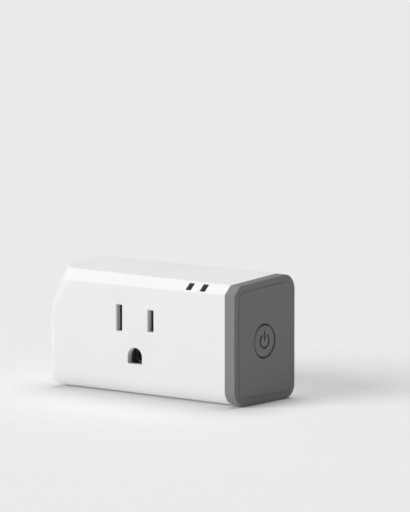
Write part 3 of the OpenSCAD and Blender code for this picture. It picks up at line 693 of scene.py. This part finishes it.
def use_group(tree, name, **values):
    """Outputs of a shared group that is placed in a material with its own values."""
    group = bpy.data.node_groups.get(name) or make_group(name)
    return add_node(tree, "Group", node_tree=group, **values).outputs


# ---- Finishes ----


def dress(tree, shader, base, rough, height, strength, distance, **inputs):
    """Sets the shader: colour, roughness as (mask, at nought, added at one), bump, and its other inputs."""
    mask, least, added = rough
    feed(tree, shader.inputs["Base Color"], base)
    feed(tree, shader.inputs["Roughness"], calc(tree, "ADD", times(tree, mask, added), least))
    bump = add_node(tree, "Bump", Height=height, Strength=strength, Distance=distance)
    feed(tree, shader.inputs["Normal"], bump.outputs["Normal"])
    for key, value in inputs.items():
        shader.inputs[key.replace("_", " ")].default_value = value


def moulded(
    tree, shader, colour, roughness, grain, scale, *, dust=0, wear=0, coat=0, glow=0, gloss=0.5, ior=1.46, fill_and_painted_shade=None
):
    """Moulded plastic: mottled colour, spark-eroded grain, worn edges, a little dust, and sunk lines darkened by a
    dark fill with painted shade that deepens with their depth.
    """
    texture = use_group(tree, "Moulded grain", Scale=scale, Mottle_Scale=55.0)
    base = blend_colour(tree, texture["Mottle"], scaled(colour, 0.965), scaled(colour, 1.03))
    if wear:
        worn = use_group(tree, "Edge wear", Amount=wear, Break_Up=700.0)
        base = blend_colour(tree, worn["Mask"], base, scaled(colour, 1.6))
    if dust:
        settled = use_group(tree, "Dust", Amount=dust, Scale=260.0)
        base = blend_colour(tree, settled["Mask"], base, (0.62, 0.61, 0.58, 1))
    # Sunk lines get a dark fill plus painted shade, darker the deeper they lie below the face
    if fill_and_painted_shade:
        base = blend_colour(tree, fill_and_painted_shade(tree), base, scaled(colour, 0.22))
    rough = (texture["Mottle"], roughness - 0.06, 0.12)
    coated = {"Coat_Weight": coat, "Coat_Roughness": 0.12, "Specular_IOR_Level": gloss, "IOR": ior}
    lit = {"Subsurface_Weight": glow, "Subsurface_Radius": (1.0, 0.95, 0.9), "Subsurface_Scale": 0.6 * MM}
    dress(tree, shader, base, rough, texture["Height"], grain, 0.02 * MM, **coated, **lit)


def metal(tree, shader, colour, roughness=0.3, marks=0.12, tarnish=0.25, across=6000.0, along=250.0):
    """Rolled or drawn metal: directional marks, patches of tarnish, brighter worn edges."""
    drawn = use_group(tree, "Drawn metal", Across=across, Along=along, Tarnish_Scale=240.0)
    worn = use_group(tree, "Edge wear", Amount=0.8, Break_Up=1200.0)
    patch = times(tree, drawn["Tarnish"], tarnish)
    base = blend_colour(tree, patch, scaled(colour, 1), scaled(colour, 0.45))
    base = blend_colour(tree, worn["Mask"], base, scaled(colour, 1.2))
    rough = (drawn["Tarnish"], roughness - 0.11, 0.22)
    dress(tree, shader, base, rough, drawn["Height"], marks, 0.01 * MM, Metallic=1.0)


def weave_board(tree, shader, colour):
    """Circuit board: glossy solder mask with faint copper tracks and glass weave below it."""
    tracks = add_node(
        tree, "TexBrick", offset=0.37, Vector=place_on(tree), Scale=260.0, Mortar_Size=0.035
    ).outputs["Fac"]
    weave = add_node(tree, "TexWave", Vector=place_on(tree), Scale=1500.0, Distortion=1.5).outputs["Fac"]
    base = blend_colour(tree, weave, scaled(colour, 0.85), scaled(colour, 1.1))
    base = blend_colour(tree, tracks, base, scaled(colour, 2.2))
    dress(tree, shader, base, (weave, 0.28, 0.1), tracks, 0.25, 0.03 * MM, Coat_Weight=0.4)


def winding(tree, shader, colour, pitch):
    """Layers of wire or tape: bands along the coil with a lacquer coat."""
    turns = add_node(
        tree, "TexWave", bands_direction="Y", Vector=place_on(tree), Scale=0.05 / pitch, Distortion=0.6
    ).outputs["Fac"]
    base = blend_colour(tree, turns, scaled(colour, 0.55), scaled(colour, 1.1))
    dress(tree, shader, base, (turns, 0.25, 0.15), turns, 0.3, 0.05 * MM, Metallic=0.6, Coat_Weight=0.5)


def sign_fill_and_painted_shade(tree):
    """Mask of the button's sunk lines, near its middle and just below its face, growing with depth below the face: a
    dark fill with painted shade.
    """
    button = settings().button
    apart = add_node(tree, "SeparateXYZ", Vector=place_on(tree)).outputs
    below = calc(tree, "SUBTRACT", BUTTON_HIGH.x - button.crown * 0.4, apart["X"])
    near_face = calc(tree, "LESS_THAN", below, button.sign_depth * 1.2)
    sunk = times(tree, below, 1 / (button.sign_depth * 0.6), clamp=True)
    away = [calc(tree, "SUBTRACT", apart[k], middle) for k, middle in zip("YZ", BUTTON_CENTRE)]
    out = calc(tree, "SQRT", calc(tree, "ADD", *[times(tree, d, d) for d in away]))
    inner = calc(tree, "LESS_THAN", out, button.radius * 0.8)
    return times(tree, times(tree, sunk, near_face), inner)


# Each finish: what builds it, its colour or the name of the setting that holds it, and its other values,
# which for moulded plastic begin with roughness, grain and scale of the grain
FINISHES = {
    "White plastic": (moulded, "white", (0.48, 0.05, 4200.0), {"dust": 0.03, "glow": 0.08, "gloss": 0.22}),
    "Grey plastic": (moulded, "grey", (0.44, 0.10, 3800.0), {"dust": 0.03, "wear": 0.10}),
    # The button's sunk sign gets a dark fill with painted shade in its recess
    "Button plastic": (moulded, "grey", (0.44, 0.10, 3800.0), {"ior": 1.5, "fill_and_painted_shade": sign_fill_and_painted_shade}),
    "Smoked plastic": (moulded, "smoked", (0.45, 0.02, 2500.0), {"coat": 0.15}),
    "Black plastic": (moulded, "black", (0.5, 0.12, 3000.0), {"dust": 0.03, "wear": 0.15}),
    "Natural plastic": (moulded, (0.66, 0.62, 0.53), (0.45, 0.08, 3000.0), {"glow": 0.1}),
    "Carrier plastic": (moulded, (0.11, 0.11, 0.112), (0.5, 0.1, 3000.0), {}),
    "Relay blue": (moulded, (0.02, 0.09, 0.32), (0.28, 0.03, 2500.0), {"dust": 0.02, "wear": 0.1}),
    "Fuse body": (moulded, (0.50, 0.38, 0.22), (0.5, 0.2, 1800.0), {}),
    "Dipped blue": (moulded, (0.02, 0.08, 0.30), (0.35, 0.3, 900.0), {}),
    "Yellow case": (moulded, (0.70, 0.46, 0.04), (0.3, 0.04, 2500.0), {}),
    "Sleeve": (moulded, (0.015, 0.02, 0.06), (0.25, 0.05, 1500.0), {}),
    "Ferrite": (moulded, (0.035, 0.034, 0.036), (0.6, 0.5, 2200.0), {}),
    "Light emitter": (moulded, (0.75, 0.72, 0.45), (0.2, 0.02, 2500.0), {}),
    "Plated brass": (metal, "plated", (0.24, 0.10, 0.25), {"across": 7000.0, "along": 300.0}),
    "Contact brass": (metal, "brass", (0.32, 0.15, 0.4), {}),
    "Plain steel": (metal, "steel", (0.34, 0.15, 0.35), {"across": 3000.0, "along": 3000.0}),
    "Copper strip": (metal, (0.86, 0.42, 0.22), (), {}),
    "Bare aluminium": (metal, (0.80, 0.80, 0.81), (), {}),
    "Tinned shield": (metal, (0.70, 0.70, 0.68), (0.35, 0.1, 0.3), {}),
    "Green board": (weave_board, "board", (), {}),
    "Black board": (weave_board, (0.01, 0.011, 0.013), (), {}),
    "Lacquered copper": (winding, (0.72, 0.24, 0.07), (0.12 * MM,), {}),
    "Yellow tape": (winding, (0.74, 0.56, 0.08), (1.1 * MM,), {}),
}


def new_finish(name):
    """An empty material, its tree and its Principled shader."""
    made = bpy.data.materials.new(name)
    made.use_nodes = True
    return made, made.node_tree, made.node_tree.nodes["Principled BSDF"]


def finish(name):
    """The material of that name, made the first time it is asked for."""
    made = bpy.data.materials.get(name)
    if made is None:
        build, colour, given, extras = FINISHES[name]
        if isinstance(colour, str):
            colour = getattr(settings().finishes, colour)
        made, tree, shader = new_finish(name)
        build(tree, shader, colour, *given, **extras)
    return made


# The CAD nodes that are shown as they are, under the finish that they get
SHOWN_NODES = {
    "Black plastic": "blade_holder relay_base transformer_bobbin rectifier power_chip board_header switch_body",
    "Carrier plastic": "contact_carrier",
    "Contact brass": "line_contact neutral_contact ground_contact ground_strap",
    "Green board": "main_board button_board",
    "Black board": "radio_board",
    "Relay blue": "relay_cover",
    "Natural plastic": "relay_bobbin switch_plunger",
    "Lacquered copper": "relay_winding",
    "Plain steel": "relay_core relay_yoke relay_armature",
    "Copper strip": "relay_contact_arm relay_fixed_contact antenna_track",
    "Fuse body": "fuse",
    "Dipped blue": "varistor",
    "Yellow case": "safety_capacitor",
    "Sleeve": "capacitor_sleeves",
    "Bare aluminium": "capacitor_tops",
    "Ferrite": "transformer_core",
    "Yellow tape": "transformer_winding",
    "Tinned shield": "radio_shield",
    "Light emitter": "indicator_lights",
}


# ---- Operators ----


class SMARTPLUG_OT_case(bpy.types.Operator):
    """Make the white case with its bevel, outlet openings, windows and screw posts"""

    bl_idname = "smart_plug.case"
    bl_label = "Case"

    def execute(self, context):
        """Outer and inner skins on one grid, joined at the seam and along each opening."""
        plug = settings()
        form = CaseForm(plug.case)
        surface = Surface()
        ends, edges = [], []
        for depth in (0.0, plug.case.wall):
            skin = form.skin(depth)
            numbers = surface.add(skin)
            openings = self.openings(form, skin, depth)
            surface.grid(numbers, skip=[(rows, columns) for rows, columns, *_ in openings])
            ends.append(numbers[-1])
            edges.append([])
            for rows, columns, loops, across, up in openings:
                cut = [surface.add(loop) for loop in loops]
                surface.fill(self.ring(numbers, rows, columns), cut, across, up)
                edges[-1] += cut
        surface.bridge(*ends)
        mouth_y = form.front + plug.outlet.lead_in
        for k, loop in enumerate(outlet_loops(plug.outlet, plug.rounding, 0)):
            throat = surface.add(place(loop, (X, Z), (0, mouth_y, 0)))
            surface.bridge(edges[0][k], throat)
            edges[0][k] = throat
        for outer, inner in zip(*edges):
            surface.bridge(outer, inner)
        surface.piece("front_housing_shell", "White plastic", "white_case", ["front_housing"], bevel=plug.case.lip)
        self.posts()
        return {"FINISHED"}

    @staticmethod
    def ring(numbers, rows, columns):
        """The closed ring of grid points around a block of rows and columns."""
        (i, k), (j, m) = rows, columns
        return np.concatenate([numbers[i, j:m], numbers[i:k, m], numbers[k, m:j:-1], numbers[k:i:-1, j]])

    @staticmethod
    def openings(form, skin, depth):
        """Flat patches of a skin: block of rows, block of columns, outlines of the holes, and two directions."""
        plug = settings()
        outlet = plug.outlet
        start, tilt, _ = form.rays()
        tube = np.flatnonzero(tilt == 0)
        x = start[tube]
        y, z = skin[tube[len(tube) // 2], :, 1:].T

        def rows_between(low, high):
            """Rows that just hold a stretch along the case."""
            return int(tube[np.flatnonzero(x < low)[-1]]), int(tube[np.flatnonzero(x > high)[0]])

        def columns_where(test):
            """First and last of the columns that pass a test."""
            found = np.flatnonzero(test)
            return int(found[0]), int(found[-1])

        reach = 2.2 * MM
        low = outlet.z - outlet.ground_drop - outlet.ground_radius - reach
        high = outlet.z + outlet.neutral_height / 2 + reach
        side = outlet.pitch / 2 + outlet.slot_width / 2 + reach
        front = columns_where((y < form.front + depth + FLAT) & (z > low) & (z < high))
        grow = 0 if depth else outlet.lead_in
        mouths = [place(k, (X, Z), (0, form.front + depth, 0)) for k in outlet_loops(outlet, plug.rounding, grow)]
        first, last = outlet.window_x, outlet.window_x + outlet.window_pitch
        origin, slope = bevel_frame(form, (first + last) / 2, depth)
        beside = skin[tube[np.argmin(np.abs(x - (first + last) / 2))]] - origin
        bevel = columns_where(np.abs(beside @ np.cross(X, slope)) < 0.01 * MM)
        ends = beside[list(bevel)] @ slope
        half_length = min(outlet.window_length / 2, np.ptp(ends) / 2 - 0.25 * MM)
        centre = ends.mean() if depth else 0
        windows = [place(loop, (X, slope), origin) for loop in window_loops(outlet, centre, half_length)]
        half = outlet.window_width / 2 + 0.4 * MM
        back_rows = int(tube[0]), int(tube[np.flatnonzero(x > COVER_HIGH.x + 0.8 * MM)[0]])
        level = skin[slice(*back_rows), :, 1] > -depth - 0.03 * MM
        return [
            (rows_between(outlet.x - side, outlet.x + side), front, mouths, X, Z),
            (rows_between(first - half, last + half), bevel, windows, X, slope),
            (back_rows, columns_where(level.all(axis=0)), [place(back_loop(), (X, Z), (0, -depth, 0))], X, Z),
        ]

    @staticmethod
    def posts():
        """Screw posts that run from the front wall to the rear cover, each a tube with a blind hole."""
        outer, pilot, front, back = 2.6 * MM, 1.0 * MM, CASE_LOW.y + 1.0 * MM, COVER_LOW.y
        foot = back - 12 * MM
        tube = [(0, front), (outer, front), (outer, back), (pilot, back), (pilot, foot), (0, foot)]
        posts = [turned(bent(tube, 0.15 * MM, 2), Y, (x, 0, z), 32) for x, z in screw_places()]
        Surface(*posts).piece("screw_posts", "White plastic", "white_case")


def screw_places():
    """Middles of the four cover screws, as (x, z), from the box around their heads."""
    xs = (SCREWS_LOW.x + SCREW_HEAD, SCREWS_HIGH.x - SCREW_HEAD)
    zs = (SCREWS_LOW.z + SCREW_HEAD, SCREWS_HIGH.z - SCREW_HEAD)
    return [(x, z) for x in xs for z in zs]


def end_corners(form):
    """Corners of the right-hand end in (y, z), anticlockwise seen from the right, with their radii."""
    case, front = form.case, form.front
    foot, crest_y, crest_z = form.bevel(form.seam)
    corners = [(front, form.bottom(front)), (0, form.bottom(0)), (0, form.top(0)), (crest_y, crest_z)]
    radii = [case.front_bottom_radius, case.back_bottom_radius, case.back_top_radius, case.crest]
    return [*corners, (front, foot)], [*radii, case.crease * 0.6]


def toward(ring, centre, radius):
    """Points of a circle about centre, each in the direction of the ring's matching point."""
    away = ring - np.asarray(centre)
    return np.asarray(centre) + away / np.linalg.norm(away, axis=1, keepdims=True) * radius


class SMARTPLUG_OT_end_cap(bpy.types.Operator):
    """Make the grey end cap: a bowl with a raised panel, a fine groove and the button's hole"""

    bl_idname = "smart_plug.end_cap"
    bl_label = "End cap"

    def execute(self, context):
        """Closed stack of rings: each is the end's outline, inset and moved along X, or the hole's circle."""
        plug = settings()
        form = CaseForm(plug.case)
        corners, radii = end_corners(form)
        seam, face, lip_x, small = form.seam, CAP_HIGH.x, CAP_LOW.x, plug.case.lip
        rim, plate, edge, panel = face - 0.08 * MM, face - 2 * MM, 0.2 * MM, 2.25 * MM
        fit = plug.case.wall + 0.15 * MM
        inner = fit + 1.2 * MM
        hole = plug.button.radius + plug.button.gap

        def outline(inset):
            """The end's outline, inset."""
            return rounded_loop(corners, radii, plug.rounding + 4, inset, 1.5 * MM)

        outlines = [(inner, lip_x), (fit + small, lip_x), (fit, lip_x + small), (fit, seam), (small, seam)]
        outlines += [(0.3 * small, seam + 0.3 * small), (0, seam + small)]
        turn = np.linspace(0.0, math.pi / 2, 7)
        outlines += [(edge * (1 - math.cos(a)), rim - edge + edge * math.sin(a)) for a in turn]
        outlines += [(panel + a * MM, face + b * MM) for a, b in PANEL_GROOVE]
        circles = [(hole + a * MM, face + b * MM) for a, b in BUTTON_HOLE_EDGE]
        circles += [(hole, plate + 0.1 * MM), (hole + 0.1 * MM, plate)]
        rings = [(outline(inset), x) for inset, x in outlines]
        rings += [(toward(outline(0), BUTTON_CENTRE, radius), x) for radius, x in circles]
        rings.append((outline(inner), plate))
        surface = Surface()
        numbers = surface.add([place(loop, (Y, Z), (x, 0, 0)) for loop, x in rings])
        surface.grid(np.concatenate([numbers, numbers[:1]]))
        surface.piece("end_cap_shell", "Grey plastic", "grey_plastic", ["end_cap"])
        return {"FINISHED"}


def sign_mask(button, y, z):
    """One inside the lines of the power sign and zero outside: distance to an open arc and a short upright."""
    radius, gap = button.sign_radius, math.radians(38)
    ends = [np.hypot(y - s * radius * math.sin(gap), z - radius * math.cos(gap)) for s in (-1, 1)]
    open_arc = np.where(np.abs(np.arctan2(y, z)) > gap, np.abs(np.hypot(y, z) - radius), np.minimum(*ends))
    foot, top, blur = 0.35 * MM, 2.9 * MM, 0.14 * MM
    upright = np.hypot(y, z - np.clip(z, foot, top))
    return np.clip(0.5 - (np.minimum(open_arc, upright) - button.sign_line / 2) / blur, 0, 1)


class SMARTPLUG_OT_button(bpy.types.Operator):
    """Make the round button: a crowned face with the sunk power sign, a flange and a stem"""

    bl_idname = "smart_plug.button"
    bl_label = "Button"

    def execute(self, context):
        """Turned profile whose face is lowered wherever the sign's mask is set."""
        button = settings().button
        face, end, radius = BUTTON_HIGH.x, BUTTON_LOW.x, button.radius
        flange, stem, edge = (BUTTON_HIGH.z - BUTTON_LOW.z) / 2, 1.5 * MM, 0.35 * MM
        front, back = face - 2.2 * MM, face - 3.0 * MM
        crowned = [(r, face - button.crown * (r / radius) ** 2) for r in np.linspace(0, radius - edge, 66)]
        rim = face - button.crown
        turn = np.linspace(0, math.pi / 2, 6)[1:]
        rounded = [(radius - edge + edge * math.sin(a), rim - edge + edge * math.cos(a)) for a in turn]
        behind = [(radius, front), (flange, front), (flange, back), (stem, back), (stem, end), (0, end)]

        def sunk(r, angle):
            """Depth of the sign, on the face only."""
            on_face = (np.arange(r.shape[0]) < len(crowned))[:, None]
            return -button.sign_depth * sign_mask(button, r * np.cos(angle), r * np.sin(angle)) * on_face

        surface = Surface(turned(crowned + rounded + behind, X, (0, *BUTTON_CENTRE), 200, sunk))
        surface.piece("power_button_cap", "Button plastic", "grey_plastic", ["power_button"], body="button")
        return {"FINISHED"}


class SMARTPLUG_OT_light_guides(bpy.types.Operator):
    """Make the two smoked light guides: a window in the bevel and a foot that reaches the radio board"""

    bl_idname = "smart_plug.light_guides"
    bl_label = "Light guides"

    def execute(self, context):
        """Outline in (y, z) that drops square from the bevel and turns back, carried across the width."""
        plug = settings()
        form = CaseForm(plug.case)
        outlet = plug.outlet
        play, recess, step, shoulder, neck = np.array([0.06, 0.22, 0.9, 2.4, 0.8]) * MM
        half, width = outlet.window_length / 2 - play, outlet.window_width - 2 * play
        for k, node in enumerate(("light_guide_left", "light_guide_right")):
            low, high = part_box(node)
            foot_top = low.z + 2 * MM
            x = outlet.window_x + k * outlet.window_pitch
            origin, slope = (v[1:] for v in bevel_frame(form, x, recess))
            inward = np.array([slope[1], -slope[0]])

            def at(up, deep):
                """A place up the bevel's slope and below it."""
                return origin + slope * up + inward * deep

            outline = [at(-half, 0), at(-half, step), at(-neck, step), at(-neck, shoulder)]
            outline += [(outline[-1][0], low.z), (high.y, low.z), (high.y, foot_top)]
            outline += [(at(neck, shoulder)[0], foot_top), at(neck, shoulder), at(neck, step)]
            outline += [at(half, step), at(half, 0)]
            surface = slab(outline, [], (Y, Z), (x - width / 2, 0, 0), width)
            surface.piece(node + "_lens", "Smoked plastic", "clear_guide", [node], bevel=0.12 * MM)
        return {"FINISHED"}


class SMARTPLUG_OT_rear_cover(bpy.types.Operator):
    """Make the rear cover with its screw wells, blade slots and pin hole"""

    bl_idname = "smart_plug.rear_cover"
    bl_label = "Rear cover"

    def execute(self, context):
        """Outer and inner faces with their holes, joined by walls; each screw well is a wide and a narrow ring."""
        surface = Surface()
        outer_y, inner_y, floor_y = COVER_HIGH.y, COVER_LOW.y, COVER_HIGH.y - SCREW_WELL
        outline = back_loop(COVER_GAP)
        wells = [circle(middle, 2.5 * MM) for middle in screw_places()]
        shanks = [circle(middle, 1.5 * MM) for middle in screw_places()]

        def at(loops, y):
            """Puts (x, z) loops at a place along Y."""
            return [surface.add(place(loop, (X, Z), (0, y, 0))) for loop in loops]

        faces = at([outline], outer_y) + at([outline], inner_y)
        cuts = [at(blade_openings(), y) for y in (outer_y, inner_y)]
        mouths, floors = at(wells, outer_y), at(wells, floor_y)
        throats, ends = at(shanks, floor_y), at(shanks, inner_y)
        surface.fill(faces[0], cuts[0] + mouths, X, Z)
        surface.fill(faces[1], cuts[1] + ends, X, Z)
        for one, other in [faces, *zip(*cuts), *zip(mouths, floors), *zip(floors, throats), *zip(throats, ends)]:
            surface.bridge(one, other)
        lip = settings().case.lip
        surface.piece("rear_cover_plate", "White plastic", "white_case", ["rear_cover"], bevel=lip)
        return {"FINISHED"}


def blade_openings():
    """Outlines of the blade slots and the pin hole in the rear cover, as (x, z)."""
    play = 0.15 * MM
    loops = []
    for node in ("neutral_blade", "line_blade"):
        low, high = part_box(node)
        size = (high.x - low.x + 2 * play, blade_height(node) + 2 * play)
        loops.append(rounded_loop(rectangle(((low.x + high.x) / 2, 0), size), [0.25 * MM] * 4, 3))
    low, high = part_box("ground_pin")
    return [*loops, circle(((low.x + high.x) / 2, (low.z + high.z) / 2), 2.93 * MM)]


def blade_height(node):
    """Height of a blade outside the case: its shoulders reach 1.6 mm further on each side."""
    low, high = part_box(node)
    return high.z - low.z - 3.2 * MM


class SMARTPLUG_OT_screws(bpy.types.Operator):
    """Make the four cover screws: pan heads with a cross recess"""

    bl_idname = "smart_plug.screws"
    bl_label = "Cover screws"

    def execute(self, context):
        """Turned profile with a domed head, sunk wherever a cross-shaped mask is set, and a thread of rings."""
        top, seat, tip = SCREWS_HIGH.y, COVER_HIGH.y - SCREW_WELL, SCREWS_LOW.y
        head, core, crest = SCREW_HEAD, 0.72 * MM, 0.98 * MM
        dome = [(r, top - 0.25 * MM * (r / head) ** 2) for r in np.linspace(0, head * 0.93, 40)]
        side = [(head, top - 0.45 * MM), (head, seat), (crest, seat)]
        along = np.linspace(seat - 0.3 * MM, tip + 0.8 * MM, 30)
        thread = [(crest if k % 2 else core, y) for k, y in enumerate(along)]

        def recess(r, angle):
            """Cross recess: narrow arms that deepen towards the middle."""
            u, v = np.abs(r * np.cos(angle)), np.abs(r * np.sin(angle))
            reach, width, blur = 1.25 * MM, 0.3 * MM, 0.16 * MM
            arm = np.minimum(np.maximum(u - reach, v - width), np.maximum(v - reach, u - width))
            on_dome = (np.arange(r.shape[0]) < len(dome))[:, None]
            return -(0.75 * MM - 0.28 * r) * np.clip(0.5 - arm / blur, 0, 1) * on_dome

        profile = dome + side + thread + [(0, tip)]
        surface = Surface(*[turned(profile, Y, (x, 0, z), 64, recess) for x, z in screw_places()])
        surface.piece("cover_screw_set", "Plain steel", "screw_steel", ["cover_screws"])
        return {"FINISHED"}


class SMARTPLUG_OT_blades(bpy.types.Operator):
    """Make the two flat blades and the round ground pin"""

    bl_idname = "smart_plug.blades"
    bl_label = "Blades and pin"

    def execute(self, context):
        """Blades are outlines in (y, z) with a detent hole, carried through their thickness. The pin is turned."""
        inside = COVER_LOW.y
        collar_back, tail, cut = inside - 1.0 * MM, 1.5 * MM, 1.4 * MM
        for node in ("line_blade", "neutral_blade"):
            low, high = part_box(node)
            half, reach, tip = blade_height(node) / 2, high.z, high.y
            upper = [(tip, half - cut), (tip - cut, half), (inside, half), (inside, reach)]
            upper += [(collar_back, reach), (collar_back, tail), (low.y, tail)]
            outline = [(y, -z) for y, z in upper[::-1]] + upper
            hole = circle((tip - 4.5 * MM, 0), 1.5 * MM, 40)
            surface = slab(outline, [hole], (Y, Z), (low.x, 0, 0), high.x - low.x)
            surface.piece(node + "_strip", "Plated brass", "plated_brass", [node], bevel=0.22 * MM)
        low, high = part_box("ground_pin")
        flange, pin, collar, thin = (high.x - low.x) / 2, 2.38 * MM, 2.78 * MM, 1.0 * MM
        shaft = [(0, low.y), (thin, low.y), (thin, collar_back), (flange, collar_back), (flange, inside)]
        shaft += [(collar, inside), (collar, 0), (pin, 0), (pin, high.y - pin - 1 * MM)]
        dome = arc((0, high.y - pin), pin, 0, math.pi / 2, 15)
        profile = np.concatenate([bent(shaft, 0.12 * MM, 2), dome])
        surface = Surface(turned(profile, Y, (0, 0, (low.z + high.z) / 2), 72))
        surface.piece("ground_pin_rod", "Plated brass", "plated_brass", ["ground_pin"])
        return {"FINISHED"}


class SMARTPLUG_OT_inner_parts(bpy.types.Operator):
    """Give every inner part its finish and soften its edges"""

    bl_idname = "smart_plug.inner_parts"
    bl_label = "Inner parts"

    def execute(self, context):
        """Each shown CAD node keeps its mesh and gets its finish, merged corners and a small round."""
        for look, nodes in SHOWN_NODES.items():
            for node in nodes.split():
                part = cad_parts[node]
                part.data.materials.clear()
                part.data.materials.append(finish(look))
                part.modifiers.new("Merged corners", "WELD").merge_threshold = 1e-6
                soften(part, 0.08 * MM)
        return {"FINISHED"}


class SMARTPLUG_OT_stage(bpy.types.Operator):
    """Make the floor, the soft lights and the camera"""

    bl_idname = "smart_plug.stage"
    bl_label = "Stage"

    def execute(self, context):
        """Pale floor just under the plug, three broad lights and a faint even sky."""
        scene = context.scene
        stage = settings().stage
        self.floor(stage)
        self.lights()
        sky = bpy.data.worlds.new("Studio")
        sky.use_nodes = True
        background = sky.node_tree.nodes["Background"].inputs
        background["Color"].default_value = (1, 1, 1, 1)
        background["Strength"].default_value = 0.06
        scene.world = sky
        scene.view_settings.view_transform = "Standard"
        level = math.cos(stage.elevation)
        across, out = math.sin(stage.azimuth) * level, math.cos(stage.azimuth) * level
        back = Vector((across, -out, math.sin(stage.elevation)))
        lens = bpy.data.cameras.new("Camera")
        lens.lens, lens.sensor_width = stage.lens, 36
        lens.clip_start, lens.clip_end = 0.05, 20
        camera = bpy.data.objects.new("Camera", lens)
        camera.location = Vector((stage.look_x, 0, stage.look_z)) + back * stage.distance
        camera.rotation_euler = (-back).to_track_quat("-Z", "Y").to_euler()
        scene.collection.objects.link(camera)
        scene.camera = camera
        return {"FINISHED"}

    @staticmethod
    def floor(stage):
        """A wide plane, unseen from below, that lets the lower light past so that the underside shows."""
        half, height = 6.0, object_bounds()[0].z - 0.3 * MM
        mesh = bpy.data.meshes.new("Floor")
        corners = rectangle((0, 0), (2 * half, 2 * half))
        mesh.from_pydata([(x, y, height) for x, y in corners], [], [(0, 1, 2, 3)])
        pale, tree, shader = new_finish("Pale floor")
        mottle = add_node(tree, "TexNoise", Scale=3.0, Detail=3.0).outputs["Fac"]
        base = blend_colour(tree, mottle, scaled(stage.floor_tint, 0.995), scaled(stage.floor_tint, 1))
        feed(tree, shader.inputs["Base Color"], base)
        feed(tree, shader.inputs["Roughness"], 0.9)
        choose = add_node(tree, "MixShader")
        behind = add_node(tree, "NewGeometry").outputs["Backfacing"]
        clear = add_node(tree, "BsdfTransparent").outputs[0]
        for inlet, source in zip(choose.inputs, (behind, shader.outputs[0], clear)):
            tree.links.new(source, inlet)
        tree.links.new(choose.outputs[0], tree.nodes["Material Output"].inputs["Surface"])
        mesh.materials.append(pale)
        floor = bpy.data.objects.new("Floor", mesh)
        floor.visible_shadow = False
        bpy.context.scene.collection.objects.link(floor)
        floor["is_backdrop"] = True

    @staticmethod
    def lights():
        """Broad suns: a key from the front left, one overhead, and a weak one for the underside."""
        for name, (toward_lamp, spread, power) in SUNS.items():
            lamp = bpy.data.lights.new(name, "SUN")
            lamp.angle, lamp.energy = math.radians(spread), power
            light = bpy.data.objects.new(name, lamp)
            light.rotation_euler = Vector(toward_lamp).to_track_quat("Z", "Y").to_euler()
            bpy.context.scene.collection.objects.link(light)


class SMARTPLUG_PT_panel(bpy.types.Panel):
    """Lists the pieces of the plug and their settings"""

    bl_idname = "SMARTPLUG_PT_panel"
    bl_label = "Smart plug"
    bl_space_type = "VIEW_3D"
    bl_region_type = "UI"
    bl_category = "Smart plug"

    def draw(self, context):
        """One button per operator, then the settings of each group."""
        for operator in OPERATORS:
            self.layout.operator(operator.bl_idname)
        plug = context.scene.smart_plug
        for group in (plug.case, plug.outlet, plug.button, plug.finishes, plug.stage):
            box = self.layout.box()
            for name in group.__annotations__:
                box.prop(group, name)
        self.layout.prop(plug, "rounding")


GROUPS = (SmartPlugCase, SmartPlugOutlet, SmartPlugButton, SmartPlugFinishes, SmartPlugStage, SmartPlugSettings)
OPERATORS = (
    SMARTPLUG_OT_stage,
    SMARTPLUG_OT_case,
    SMARTPLUG_OT_end_cap,
    SMARTPLUG_OT_button,
    SMARTPLUG_OT_light_guides,
    SMARTPLUG_OT_rear_cover,
    SMARTPLUG_OT_screws,
    SMARTPLUG_OT_blades,
    SMARTPLUG_OT_inner_parts,
)


def register():
    """Registers the settings, the operators and the panel."""
    for kind in (*GROUPS, *OPERATORS, SMARTPLUG_PT_panel):
        bpy.utils.register_class(kind)
    bpy.types.Scene.smart_plug = PointerProperty(type=SmartPlugSettings)


def unregister():
    """Takes them away again."""
    del bpy.types.Scene.smart_plug
    for kind in reversed((*GROUPS, *OPERATORS, SMARTPLUG_PT_panel)):
        bpy.utils.unregister_class(kind)


def main():
    """Makes every piece in order."""
    register()
    for operator in OPERATORS:
        getattr(bpy.ops.smart_plug, operator.bl_idname.split(".")[1])()


if __name__ == "__main__":
    main()
